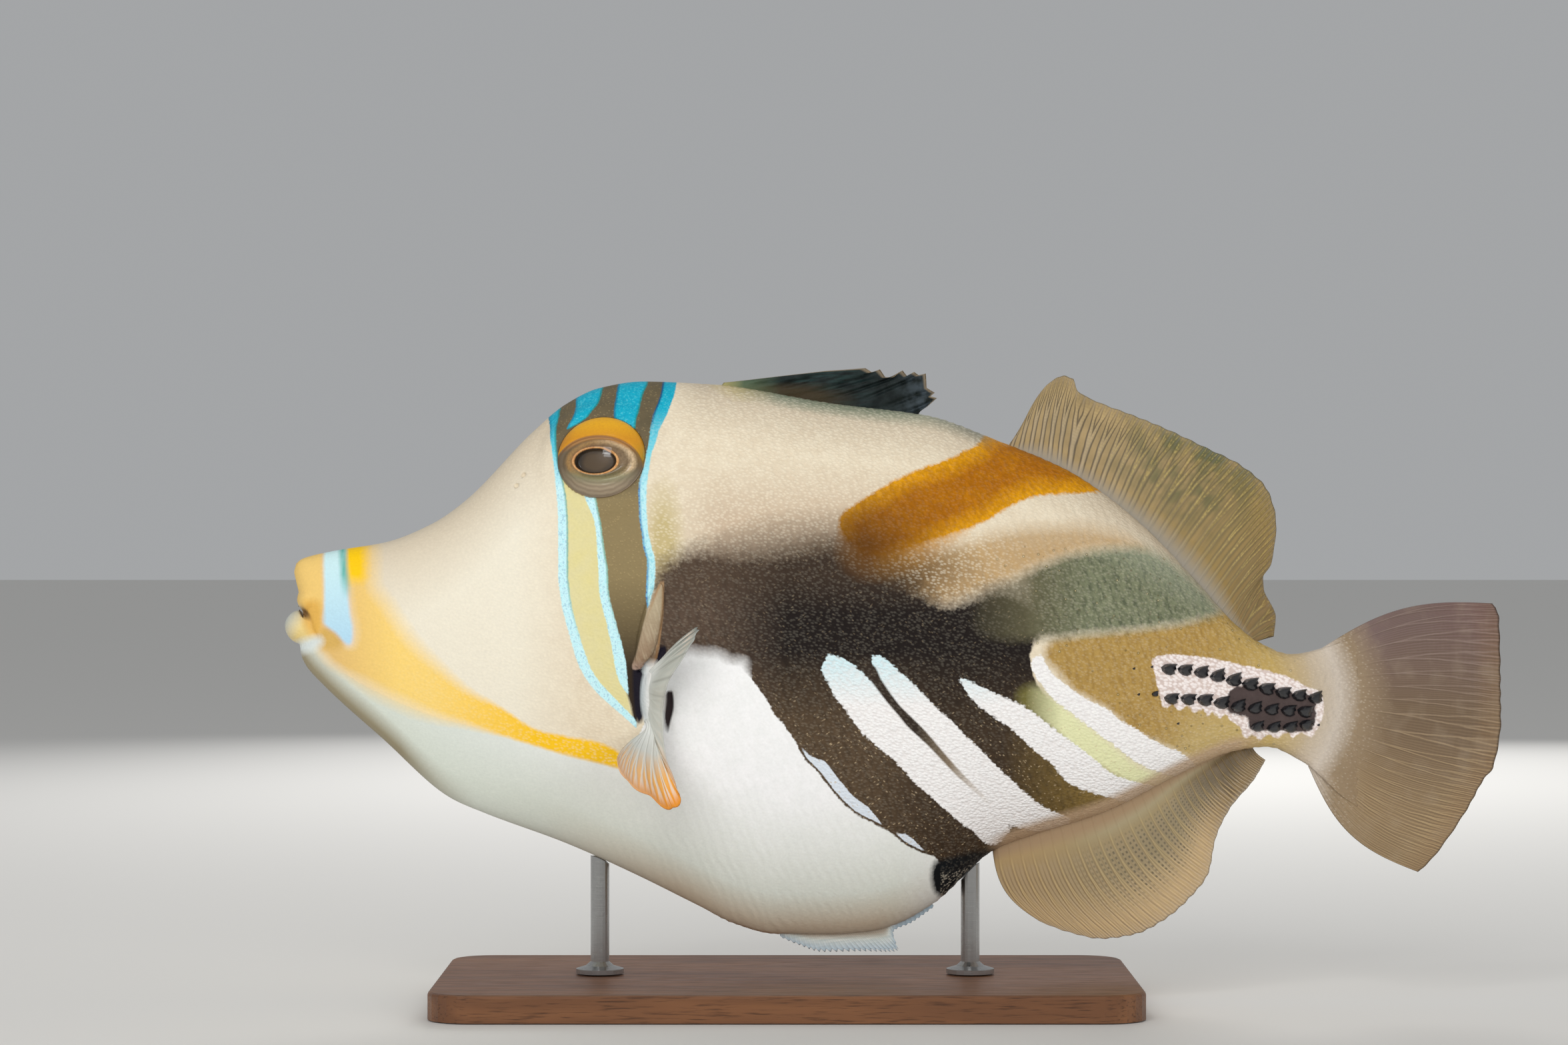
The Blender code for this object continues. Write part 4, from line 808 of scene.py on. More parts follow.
def paint_hide():
    material, place = new_material("hide", {"Specular IOR Level": 0.22})
    x, _, z = (number / MM for number in parts_of(place))
    coarse = place.noise(2.6, 3)
    fine = place.noise(0.45, 2)
    grain = place.drawn_out(15, 1.7).cells(0.45)
    ragged = place.noise(1.1, 3) * 0.7 + fine * 0.5 - 0.6
    granular = (0.40 - grain) * 0.55 + ragged * 0.7
    over_belly = place.attribute("over_belly")
    under_back = place.attribute("under_back")

    def within(name, soft=0.25, torn=0.9):
        """1 inside the marking and 0 outside, over an edge that many millimetres wide."""
        return ((place.attribute(name) + ragged * torn) / soft + 0.5).clamped()

    # cream ground, whiter on the cheek, with painted shade, darker and browner, under the back and on
    # the forehead
    colour = coarse.rising(0.3, 0.7).mixed(tint(233, 220, 195), tint(226, 211, 185))
    cheek = x.rising(-58, -70)
    colour = colour.painted(cheek * 0.85, 239, 233, 215)
    # painted shade on the forehead and along the top of the back
    colour = colour.painted(under_back.rising(16, 2) * x.rising(-46, -64) * 0.6, 205, 186, 158)
    colour = colour.painted(under_back.rising(10, 0) * x.rising(-42, -36) * 0.9, 200, 184, 160)
    flush = z.rising(101, 90) * x.rising(-42, -32) * x.rising(14, 0)
    colour = colour.painted(flush * 0.8, 196, 172, 146)
    colour = colour.painted(within("straw_patch", 3.2, 1.5) * 0.9, 194, 176, 122)

    # rear of the flank: cream, ochre, dark mass and sage, one over the other
    lean = x + z * 0.35
    warp = place.noise(5.0, 2) * 1.6
    rows = ((lean / PLATE_LENGTH + warp) * (2 * math.pi)).cosine() * 0.5 + 0.5
    mottle = place.drawn_out(-19, 1.0, 2.2).noise(0.62, 2).rising(0.36, 0.62)
    rough = mottle * (rows * 0.55 + 0.45)
    cream = z.rising(96, 84).mixed(tint(212, 193, 164), tint(192, 160, 114))
    cream = cream.painted(rows * 0.30, 184, 160, 128)
    cream = cream.painted(under_back.rising(4, 1) * x.rising(30, 38) * 0.8, 196, 204, 190)
    colour = within("tan", 3.5, 2.0).mixed(colour, cream)
    ochre = (rough * 0.5).mixed(tint(180, 147, 82), tint(138, 104, 46))
    ochre = ochre.painted(over_belly.rising(16, 5) * x.rising(46, 56) * 0.8, 198, 174, 116)
    ochre = ochre.painted(x.rising(58, 70) * 0.6, 198, 172, 106)
    colour = within("ochre", 1.8, 1.8).mixed(colour, ochre)
    brown = z.rising(66, 50).mixed(tint(28, 21, 19), tint(66, 52, 38))
    brown = brown.painted(x.rising(8, -4) * z.rising(66, 52) * 0.7, 96, 78, 58)
    brown = brown.painted(x.rising(-20, -34) * 0.8, 98, 80, 66)
    brown = brown.painted(x.rising(20, 36) * z.rising(62, 46), 134, 110, 58)
    brown = brown.painted(rough * 0.35, 24, 18, 16)
    brown = brown.painted(z.rising(73, 80) * 0.5, 74, 58, 44)
    fading = z.rising(66, 77)
    ahead = x.rising(4, -6) * x.rising(-38, -24)
    inside = place.attribute("dark") + ragged * (0.8 + 3.0 * fading) - 1.0 * fading * ahead
    dark = (inside / (0.35 + fading * (4.0 + 6.0 * ahead)) + 0.5).clamped()
    colour = colour.painted(within("scorch", 5.0, 2.5) * 0.9, 108, 82, 50)
    colour = dark.mixed(colour, brown)
    sage = (rough * 0.7 + 0.1).mixed(tint(131, 135, 106), tint(76, 83, 64))
    sage = sage.painted(x.rising(36, 24) * 0.9, 92, 86, 62)
    sage = sage.painted((z + x * 0.55).rising(103, 112) * 0.5, 172, 178, 156)
    colour = (within("sage", 2.4, 2.0) * x.rising(12, 26)).mixed(colour, sage)

    # orange bar with a brighter rim, fading to brown at its lower end
    deep = place.attribute("orange") + ragged * 1.4
    orange = (coarse * 0.5 + deep.rising(0.6, 4.0) * 0.8 - 0.1).clamped()
    orange = orange.mixed(tint(236, 166, 6), tint(178, 108, 0))
    orange = orange.painted(mottle * 0.30, 122, 70, 0)
    orange = orange.painted(x.rising(13, -5) * z.rising(98, 86) * 0.95, 92, 54, 8)
    bar = (deep / (0.6 + 6 * z.rising(89, 83)) + 0.5).clamped()
    colour = bar.mixed(colour, orange)

    # tiny pores on the rear of the flank, each a dark ring round a glint
    pore = place.cells(2.1)
    pores = x.rising(14, 22) * z.rising(88, 84) * (1 - dark)
    colour = colour.painted(pore.rising(0.15, 0.11) * pores * 0.5, 84, 74, 46)
    colour = colour.painted(pore.rising(0.07, 0.04) * pores * 0.7, 222, 208, 160)

    # white belly, silky, greener and darker below, brown along the keel, and painted shade under the
    # chin
    silk = place.drawn_out(8, 7.0, 0.8).noise(0.35, 2)
    belly = coarse.rising(0.3, 0.7).mixed(tint(250, 250, 250), tint(244, 245, 244))
    belly = belly.painted(x.rising(-56, -84) * 0.85, 220, 226, 222)
    belly = belly.painted(over_belly.rising(26, 5) * x.rising(14, 0) * 0.85, 214, 221, 208)
    belly = belly.painted(
        (silk - 0.5).rising(0.0, 0.3) * over_belly.rising(30, 16) * 0.4, 232, 236, 226)
    brink = 0.25 + 2.6 * z.rising(61, 64)
    inner = (place.attribute("belly") + granular * 0.55) / brink + 0.5
    colour = inner.clamped().mixed(colour, belly)
    keel = over_belly.rising(7.5, 1.5) * x.rising(-66, -40) * x.rising(9, -3)
    colour = colour.painted(keel * 0.8, 202, 184, 158)
    # painted shade under the chin
    chin_shade = over_belly.rising(5, 1) * x.rising(-78, -92)
    colour = colour.painted(chin_shade * 0.9, 146, 132, 100)

    # the belly's dark outline, and the slivers of white beyond it
    depth = place.attribute("belly") * -1 - granular * 0.3
    sliver = x.rising(-17.6, -13.0) * x.rising(-2.2, -5.0) * 1.9
    sliver = sliver + x.rising(0.0, 2.0) * x.rising(5.8, 3.4) * 1.2
    between = (depth - 0.42).lesser(0.42 + sliver - depth)
    between = between.rising(-0.08, 0.10) * sliver.rising(0.1, 0.4)
    colour = colour.painted(between, 222, 231, 240)

    # white streaks on the dark mass, each granular, with a dark rift between two of them
    lime = x.rising(24, 31).mixed(tint(112, 106, 56), tint(230, 231, 182))
    colour = within("lime", 2.0, 1.0).mixed(colour, lime)
    white = (z.rising(56, 64) * x.rising(24, 16)).mixed(tint(250, 249, 248), tint(214, 242, 248))
    white = white.painted(grain.rising(0.35, 0.7) * 0.4, 228, 221, 217)
    streak = (place.attribute("streaks") + granular * 0.9) / 0.28 + 0.5
    streak = streak.clamped()
    colour = streak.mixed(colour, white)
    offset, half, _ = parts_of(place.attribute("rift", "Vector"))
    rift = (half * 0.95 - offset.size() + ragged * 0.16).rising(-0.2, 0.25)
    rift = rift * x.rising(18, 10)
    colour = rift.mixed(colour, x.rising(4, 16).mixed(tint(52, 42, 34), tint(178, 158, 132)))
    fleshy = over_belly.rising(3.0, 1.4) * x.rising(17, 21) * x.rising(70, 64)
    colour = colour.painted(fleshy * 0.9, 190, 162, 132)
    colour = colour.painted(within("vent", 1.2, 0.8), 16, 22, 26)

    # teal-green saddle under the first dorsal fin, and a thin green edge behind it
    edge = under_back.rising(2.6, 0.2) * x.rising(-26, -20) * x.rising(19, 16)
    colour = (edge * 0.7).mixed(colour, x.rising(4, 14).mixed(tint(150, 162, 140), tint(104, 112, 98)))
    saddle = coarse.mixed(tint(104, 122, 100), tint(138, 146, 124))
    saddle = saddle.painted(x.rising(-22, -31), 200, 182, 122)
    colour = (within("saddle", 3.0, 2.4) * x.rising(6, -2) * 0.85).mixed(colour, saddle)

    # yellow cheek band and the patches of the snout
    band = x.rising(-104, -92).mixed(tint(229, 190, 118), tint(250, 214, 122))
    band = band.painted(x.rising(-86, -66), 255, 202, 30)
    reach = 0.7 + 3.6 * x.rising(-72, -90) - 1.6 * x.rising(-98, -102)
    cheek_band = ((place.attribute("cheek") + ragged * 0.6) / reach + 0.5).clamped()
    colour = cheek_band.mixed(colour, band)
    colour = colour.painted(within("snout_patch", 2.4, 0.8), 254, 205, 10)
    colour = colour.painted(within("mouth_pad", 1.6, 0.5), 216, 176, 96)
    snout = z.rising(72, 68).mixed(tint(240, 202, 120), tint(232, 184, 88))
    colour = within("snout", 0.8, 0.2).mixed(colour, snout)

    # grains: painted highlights on the raised grains, as pale dashes all over, widest apart and
    # brightest on the dark parts
    rear = x.rising(16, 26) * z.rising(96, 88)
    # painted highlight on each grain
    grains = grain.rising(0.54, 0.22) * (1 - inner.clamped()) * x.rising(-100, -40)
    grains = grains * (1 - rear * 0.7) * (1 - bar * 0.9) * (1 - dark * 0.85)
    colour = colour.painted(grains * 0.34, 252, 243, 220)
    # painted highlights in short dashes on the grains, leaning two ways
    one = place.drawn_out(38, 2.1).cells(0.55).rising(0.26, 0.14)
    other = place.drawn_out(-30, 2.1).cells(0.6).rising(0.26, 0.14)
    fan = ((lean * 0.5 + z * 0.2).cosine()).rising(-0.2, 0.2)
    dashes = fan.mixed(one, other) * place.noise(1.3).rising(0.36, 0.52) * (1 - streak)
    dashes = dashes * (1 - within("vent", 1.2)) * (1 - inner.clamped()) * x.rising(-44, -36)
    dashes = dashes * (1 - bar * 0.8)
    colour = colour.painted(dashes * (0.15 + z.rising(62, 50) * 0.38), 206, 184, 148)

    # whitish root of the tail fin, pale halo and dark ground of the thorny scales
    tail_skin = z.rising(42, 70).mixed(tint(140, 118, 90), tint(126, 106, 96))
    colour = tail_root(x, z, grain, colour, tail_skin)
    halo = grain.rising(0.35, 0.7).mixed(tint(250, 240, 236), tint(216, 198, 190))
    colour = within("halo", 0.3, 0.9).mixed(colour, halo)
    ground = coarse.mixed(tint(62, 52, 50), tint(92, 78, 76))
    colour = within("thorn_ground", 0.4, 1.2).mixed(colour, ground)

    # grey-brown crown and the bar under the eye, straw between the lines, and the blue lines
    behind = parts_of(place.attribute("blue_1", "Vector"))[0].rising(-0.4, 0.1)
    straw = coarse.mixed(tint(224, 216, 170), tint(226, 214, 146))
    colour = (within("straw", 0.8, 0.3) * behind).mixed(colour, straw)
    ashen = coarse.mixed(tint(92, 84, 64), tint(116, 102, 76))
    ashen = ashen.painted(z.rising(99, 94) * 0.8, 150, 132, 92)
    ashen = ashen.painted(grain.rising(0.3, 0.15) * 0.3, 190, 168, 120)
    colour = (within("crown", 0.3, 0.3) * behind).mixed(colour, ashen)
    brown_bar = z.rising(86, 94).mixed(z.rising(63, 80).mixed(tint(54, 42, 30), ashen), ashen)
    colour = within("bar", 0.5, 0.3).mixed(colour, brown_bar)
    cyan = z.rising(96, 103).mixed(tint(206, 245, 250), tint(110, 214, 235))
    cyan = cyan.painted(z.rising(102, 109), 14, 174, 202)
    cyan = (grain.rising(0.30, 0.10) * 0.55).mixed(cyan, z.rising(100, 108).mixed(
        tint(236, 252, 254), tint(96, 218, 230)))
    cyan = cyan.painted(fine.rising(0.50, 0.68) * 0.40, 20, 130, 172)
    cyan = cyan.painted(fine.rising(0.46, 0.30) * 0.35, 120, 224, 236)
    for line in ("crown_stripe_1", "crown_stripe_2", "blue_1", "blue_2", "blue_3"):
        offset, half, _ = parts_of(place.attribute(line, "Vector"))
        edge = half - offset.size() + granular * 0.30
        front = (offset + half).rising(0.55, 0.15)
        rear = (half - offset).rising(0.50, 0.15)
        if line == "blue_3":
            front = front * z.rising(66, 72) * (1 - z.rising(96, 99) * z.rising(109, 106))
        elif line == "crown_stripe_2":
            front, rear = front * 0.7, rear * 0.7
        else:
            front, rear = front * z.rising(104, 108) * 0.5, rear * z.rising(66, 80) * 0.7
        blue = front.mixed(cyan, z.rising(97, 106).mixed(tint(26, 96, 178), tint(14, 82, 130)))
        if line == "blue_3":
            blue = blue.painted(z.rising(111, 107) * fine.rising(0.35, 0.6) * 0.6, 150, 222, 232)
        else:
            blue = rear.mixed(blue, z.rising(97, 104).mixed(tint(96, 150, 110), tint(16, 126, 112)))
        colour = edge.rising(-0.12, 0.12).mixed(colour, blue)
    lilac = within("snout_band", 1.6, 0.1)
    colour = colour.painted(lilac * 0.6, 204, 204, 232)
    pale = within("snout_band", 0.7, 0.25)
    colour = pale.mixed(colour, z.rising(84, 66).mixed(tint(208, 240, 242), tint(178, 218, 242)))
    teal = within("snout_band_edge", 1.1, 0.3) * z.rising(75.5, 80)
    colour = colour.painted(teal * 0.9, 70, 172, 158)

    # lips, the corner of the mouth, and painted shadow in the mouth between the lips
    lip = (x - z * 0.6).rising(-156.5, -152.5).mixed(tint(200, 204, 194), tint(234, 208, 138))
    colour = within("lower_lip", 0.7, 0.2).mixed(colour, lip)
    colour = colour.painted(within("lip_corner", 1.6, 0.3) * 0.8, 226, 174, 78)
    colour = colour.painted(within("lip_spot", 1.6, 0.5) * 0.9, 220, 229, 228)
    # painted shadow in the mouth between the lips
    colour = colour.painted(within("mouth", 0.7, 0.1) * 0.9, 112, 80, 48)

    # gill opening, the flap over it, and the slot behind the root of the breast fin
    colour = colour.painted(within("gill_slot", 0.5, 0.1), 28, 24, 36)
    colour = colour.painted(within("fin_slot", 0.4, 0.1), 48, 38, 40)
    side = place.attribute("gill_flap")
    flap = z.rising(64, 74).mixed(tint(146, 120, 96), tint(178, 162, 134))
    furrows = place.drawn_out(72, 6.0, 0.7).noise(0.5, 2)
    flap = flap.painted(furrows.rising(0.45, 0.7) * 0.35, 206, 192, 164)
    flap = flap.painted(side.rising(0.6, 0.2) * x.rising(-46, -44) * 0.7, 158, 116, 72)
    flap = flap.painted(z.rising(64.5, 62.5) * 0.7, 196, 168, 156)
    colour = within("gill_flap", 0.3, 0.1).mixed(colour, flap)
    colour = within("fin_root", 0.6, 0.1).mixed(
        colour, x.rising(-47, -44.5).mixed(tint(206, 218, 222), tint(234, 230, 224)))

    cloudy = (fine - 0.5) * 0.14 + 1.0
    colour = place.node("VectorMath", {"operation": "SCALE"}, {0: colour, "Scale": cloudy})
    colour.into("Base Color")

    body = x.rising(-60, -30)
    height = (1 - grain) * (0.35 + 0.65 * body) * (1 - inner.clamped() * 0.8) + rows * body * 0.5
    height = height + coarse * 0.2 + streak * (1 - grain) * 0.8
    height.as_bump(0.16, 0.65)
    (fine.rising(0.3, 0.7) * 0.14 + 0.40 - streak * 0.1).into("Roughness")
    return material


hide = new_object("hide", make_hide())
dress_hide(hide)
finished(hide, "root", paint_hide(), "skin", "head", "trunk", "tail")


# The eyes: a domed globe in each socket, under an orange lid of skin. The iris is a bowl of brown
# and gold rings with a long dark pupil, and a clear, wet cornea stands over it.
EYE_BULGE = 3.0
EYE_DEPTH = 6.8
LID_OPENING = ((-0.4, -2.0), (8.3, 5.6))  # centre and half axes of the lid's lower edge
LID_RAISE = 0.30
IRIS_BOWL = ((0.25, -1.3), (6.75, 4.0))
PUPIL = ((-0.75, -1.25), (3.9, 2.4))
PUPIL_PEAK = (1.7, 0.45)  # where along it, and how much, its upper edge rises
BOWL_DEPTH = 0.75
FOLD_DEPTH = 0.12
PUPIL_RIM = 0.16
PUPIL_DEPTH = 0.5


def dome(radii, u, v):
    """A closed lens: a low dome in front, with the eye's full depth behind it."""
    bm = blob(radii, Matrix(), u, v)
    for vert in bm.verts:
        if vert.co.z < 0:
            vert.co.z *= EYE_DEPTH / radii[2]
    return bm


def within_oval(oval, x, y):
    """0 at the oval's centre, 1 on it and more outside."""
    (centre_x, centre_y), (long, tall) = oval
    return np.hypot((x - centre_x) / long, (y - centre_y) / tall)


def make_globe(side):
    bm = dome((EYE_RADIUS_LONG - 0.1, EYE_RADIUS_TALL - 0.1, EYE_BULGE - 0.1), 128, 160)
    points = np.array([vert.co[:] for vert in bm.verts])
    x, y, z = points.T
    front = z > 0
    rim = np.hypot(x / EYE_RADIUS_LONG, y / EYE_RADIUS_TALL)
    lid = gentle(within_oval(LID_OPENING, x, y), 0.985, 1.03) * gentle(y, -2.6, 0.6)
    bowl = within_oval(IRIS_BOWL, x, y)
    peak = PUPIL_PEAK[1] * np.exp(-(((x - PUPIL_PEAK[0]) / 0.8) ** 2)) * (y > PUPIL[0][1])
    pupil = within_oval(PUPIL, x, y - peak)
    z = z + front * LID_RAISE * lid * gentle(rim, 1.0, 0.93)
    z = z - front * BOWL_DEPTH * gentle(bowl, 1.0, 0.55) * (1 - lid)
    z = z - front * FOLD_DEPTH * np.exp(-(((bowl - 1.09) / 0.05) ** 2)) * (1 - lid)
    z = z + front * PUPIL_RIM * np.exp(-(((pupil - 1.07) / 0.06) ** 2))
    z = z - front * PUPIL_DEPTH * gentle(pupil, 1.02, 0.85)
    for vert, height in zip(bm.verts, z):
        vert.co.z = height
    obj = new_object("eye_globe_left" if side < 0 else "eye_globe_right", bm)
    stored = obj.data.attributes.new("iris", "FLOAT_VECTOR", "POINT")
    stored.data.foreach_set("vector", np.column_stack([x, y, z]).astype(np.float32).ravel())
    obj.data.transform(eye_place(side))
    if side > 0:
        obj.data.flip_normals()
    return obj


def paint_globe():
    material, place = new_material("eye_globe", {"Specular IOR Level": 0.45, "Coat Weight": 0.5})
    iris = place.attribute("iris", "Vector")
    ex, ey, _ = parts_of(iris)

    def oval(shape):
        """How far from the middle of the oval, with 1 on it."""
        (centre_x, centre_y), (long, tall) = shape
        across = (ex - centre_x) / long
        up = (ey - centre_y) / tall
        square = across * across + up * up
        return square.math("SQRT", square)

    fleck = place.noise(0.35, 3)
    cloud = place.noise(1.6, 3)
    rim = oval(((0, 0), (EYE_RADIUS_LONG, EYE_RADIUS_TALL)))
    bowl = oval(IRIS_BOWL) + (cloud - 0.5) * 0.10
    pupil = oval(PUPIL)
    opening = oval(LID_OPENING)

    folds = ((rim * 70 + cloud * 6).cosine() + 1) / 2
    outer = (folds * 0.15).mixed(tint(126, 108, 82), tint(100, 84, 62))
    # lighter in the lower part: partly the eye's own colour, partly painted light against the shade on
    # its downward face
    outer = (ey.rising(-2, -6) * 0.8).mixed(outer, folds.mixed(tint(186, 168, 140), tint(160, 142, 116)))
    outer = outer.painted(ex.rising(3.5, 7.5) * ey.rising(-3, 1) * 0.8, 158, 118, 40)
    inner = ex.rising(-4, 5).mixed(tint(118, 78, 32), tint(138, 116, 84))
    inner = inner.painted(ey.rising(-1.5, -4.2) * 0.8, 118, 116, 84)
    inner = inner.painted(fleck.rising(0.45, 0.7) * 0.5, 84, 58, 30)
    gold = ex.rising(-2, 5).mixed(tint(178, 138, 76), tint(222, 196, 156))
    gold = gold.painted(ey.rising(-2.8, -4.6) * 0.75, 134, 132, 100)
    gold = gold.painted(fleck.rising(0.42, 0.66) * 0.45, 120, 92, 54)
    colour = bowl.rising(1.03, 0.93).mixed(outer, gold)
    colour = bowl.rising(0.88, 0.74).mixed(colour, inner)
    ring = (pupil - 1.07).size().rising(0.085, 0.035)
    colour = ring.mixed(colour, fleck.rising(0.3, 0.7).mixed(tint(250, 198, 132), tint(214, 140, 72)))
    hole = (pupil + (cloud - 0.5) * 0.3).rising(0.55, 1.0)
    hole = hole.mixed(tint(86, 68, 44), tint(44, 31, 19))
    hole = hole.painted(ex.rising(-2.6, -4.6), 22, 15, 12)
    colour = pupil.rising(1.03, 0.98).mixed(colour, hole)
    haze = bowl.rising(0.62, 0.9) * bowl.rising(1.25, 1.0) * ey.rising(-2.6, -4.2)
    colour = colour.painted(haze * 0.40, 150, 154, 118)
    colour = colour.painted(rim.rising(0.950, 0.968) * ey.rising(2, -3) * 0.7, 206, 178, 152)

    # the lid's shadowed fold, and the lid itself
    fold = opening.rising(0.80, 0.90) * ey.rising(0.5, 2.0)
    colour = colour.painted(fold * 0.9, 196, 142, 74)
    crease = (opening - 0.95).size().rising(0.04, 0.01) * ey.rising(-0.4, 1.0)
    colour = colour.painted(crease * 0.6, 128, 82, 26)
    lid = opening.rising(0.99, 1.01) * ey.rising(-2.6, -0.4)
    orange = ey.rising(3.2, 6.0).mixed(tint(214, 146, 6), tint(234, 172, 4))
    orange = orange.painted(ex.rising(5.5, 8.0) * ey.rising(3, 0) * 0.8, 158, 132, 30)
    orange = orange.painted(ex.rising(-5, -8.4) * 0.6, 184, 116, 10)
    orange = orange.painted(fleck.rising(0.42, 0.7) * 0.25, 196, 128, 4)
    colour = lid.mixed(colour, orange)
    colour.into("Base Color")
    (lid * 0.22 + 0.26).into("Roughness")
    (fleck * (lid * 0.8 + 0.4) + folds * (1 - lid) * bowl.rising(1.0, 1.1) * 0.2).as_bump(0.10, 0.6)
    return material


def make_cornea(side):
    bm = dome((EYE_RADIUS_LONG, EYE_RADIUS_TALL, EYE_BULGE), 96, 48)
    put(bm, eye_place(side))
    return new_object("eye_cornea_left" if side < 0 else "eye_cornea_right", bm)


def wet_film():
    """Clear and colourless, with the mirror shine of water at its edge."""
    material, place = new_material("eye_cornea")
    tree = material.node_tree
    shine = place.node("Fresnel", {}, {"IOR": 1.36})
    mirror = tree.nodes.new("ShaderNodeBsdfGlossy")
    mirror.inputs["Roughness"].default_value = 0.03
    clear = tree.nodes.new("ShaderNodeBsdfTransparent")
    mixed = tree.nodes.new("ShaderNodeMixShader")
    tree.links.new(shine.output, mixed.inputs[0])
    tree.links.new(clear.outputs[0], mixed.inputs[1])
    tree.links.new(mirror.outputs[0], mixed.inputs[2])
    tree.links.new(mixed.outputs[0], tree.nodes["Material Output"].inputs["Surface"])
    tree.nodes.remove(tree.nodes["Principled BSDF"])
    return material


globe_material = paint_globe()
cornea_material = wet_film()
for name, side in SIDES.items():
    finished(make_globe(side), "root", globe_material, "eye", "eye_" + name)
    finished(make_cornea(side), "root", cornea_material, "eye", "eye_" + name)


# The thorns: two rows and a short third of black, horny scales on each side of the tail's root,
# each a low keeled plate whose point leans forward, as hard and glossy as claw.
THORN_OUTLINE = (
    (-1.5, -0.1), (-0.9, 0.65), (0.0, 1.0), (1.45, 1.3), (1.2, 0.75), (1.5, 0.3),
    (1.15, -0.05), (1.4, -0.6), (0.6, -1.1), (-0.3, -1.1), (-1.1, -0.7),
)
THORN_PEAK = Vector((-0.55, -0.15, 0))
THORN_TIERS = ((0.25, 0.88), (0.62, 0.50), (0.86, 0.24), (1.12, 0.03))  # (height, width) of each
THORN_LEAN = 0.38
THORN_SINK = 0.5
# Each row's count and size, and points of (place, height) on its curve.
THORN_ROWS = (
    (10, 1.18, ((50.9, 62.6), (54.2, 62.4), (63.6, 60.4), (72.8, 58.0), (78.8, 57.0))),
    (9, 1.14, ((51.4, 57.1), (58.0, 56.8), (63.9, 55.6), (70.4, 54.9), (76.8, 54.5))),
    (4, 1.04, ((67.8, 51.7), (72.5, 51.5), (77.1, 52.0))),
    (1, 0.55, ((48.3, 58.0), (48.4, 58.0))),
)
THORN_SPECKS = ((44.3, 62.7), (47.7, 63.0), (45.2, 57.9), (52.7, 52.4), (79.4, 51.9))
SPECK_SIZE = 0.22


def make_thorn(size):
    """One thorn: the plate's outline drawn up to its leaning point in tiers."""
    bm = bmesh.new()
    base = bm.faces.new([bm.verts.new((x, y, -THORN_SINK)) for x, y in THORN_OUTLINE])
    made = bmesh.ops.extrude_face_region(bm, geom=[base])["geom"]
    face = next(item for item in made if isinstance(item, bmesh.types.BMFace))
    height, width = -THORN_SINK, 1.0
    peak = THORN_PEAK.copy()
    for next_height, next_width in THORN_TIERS:
        if width < 1.0:
            face = bmesh.ops.extrude_discrete_faces(bm, faces=[face])["faces"][0]
        shrink = (next_width / width, next_width / width, 1)
        about = Matrix.Translation(-peak)
        bmesh.ops.scale(bm, vec=shrink, space=about, verts=face.verts)
        shift = Vector((-THORN_LEAN * max(0, next_height - 0.25), 0, next_height - height))
        bmesh.ops.translate(bm, vec=shift, verts=face.verts)
        peak += Vector((shift.x, 0, 0))
        height, width = next_height, next_width
    bmesh.ops.recalc_face_normals(bm, faces=bm.faces)
    bmesh.ops.scale(bm, vec=(size,) * 3, verts=bm.verts)
    return bm


def add_to(mesh_so_far, bm, place):
    """Puts the shape in its place and adds it to the mesh."""
    put(bm, place)
    part = bpy.data.meshes.new("part")
    bm.to_mesh(part)
    bm.free()
    mesh_so_far.from_mesh(part)
    bpy.data.meshes.remove(part)


def make_thorns():
    thorns = bmesh.new()
    for side in SIDES.values():
        for count, size, curve in THORN_ROWS:
            height = through(curve)
            for x in np.linspace(curve[0][0], curve[-1][0], count):
                turn = Matrix.Rotation(-0.10 + 0.16 * math.sin(1.7 * x), 4, "Z")
                grown = size * (0.98 + 0.05 * math.sin(2.3 * x))
                place = on_flank(x, float(height(x)), side)
                add_to(thorns, make_thorn(grown), place @ turn)
        for x, z in THORN_SPECKS:
            add_to(thorns, make_thorn(SPECK_SIZE), on_flank(x, z, side))
    return new_object("tail_thorns", thorns)


def horn():
    settings = {"Specular IOR Level": 0.6, "Coat Weight": 0.6, "Coat Roughness": 0.12}
    material, place = new_material("thorn_horn", settings)
    worn = place.noise(0.5, 3)
    worn.rising(0.35, 0.75).mixed(tint(12, 13, 17), tint(34, 33, 37)).into("Base Color")
    (worn * 0.25 + 0.2).into("Roughness")
    (place.cells(0.5) + worn * 0.4).as_bump(0.08, 0.6)
    return material


finished(make_thorns(), "root", horn(), "dark_fin")


# The soft fins along the back and the belly, and the tail fin: sheets of clear, amber-grey skin
# drawn over many bony rays, which split in two and then in four towards the margin. Each is one
# thin solid, thickest at its fleshy root, with the rays raised on both faces.
SECOND_DORSAL_STATIONS = (
    (21.3, 22.4, 105.2), (22.4, 24.3, 108.4), (23.8, 26.2, 112.0), (25.4, 28.2, 114.9),
    (27.4, 30.4, 116.8), (29.3, 32.0, 117.4), (31.2, 33.8, 116.8), (32.4, 34.7, 114.6),
    (34.5, 38.6, 112.4), (38.5, 44.5, 110.1), (43.0, 50.5, 107.6), (48.0, 58.5, 103.8),
    (52.5, 65.4, 100.3), (57.0, 70.4, 95.4), (60.5, 71.9, 89.0), (63.0, 71.0, 82.0),
    (64.6, 69.5, 79.3), (65.4, 69.7, 77.2), (66.4, 71.9, 72.1), (67.4, 71.6, 68.3),
)
ANAL_STATIONS = (
    (19.0, 27.5, 14.9), (22.5, 32.5, 13.1), (27.0, 38.8, 11.8), (32.0, 45.0, 12.5),
    (37.0, 50.6, 15.0), (42.0, 55.6, 19.0), (47.0, 59.4, 24.0), (52.0, 60.6, 30.2),
    (57.0, 63.1, 35.9), (62.0, 67.5, 41.5), (67.0, 69.6, 45.3),
)
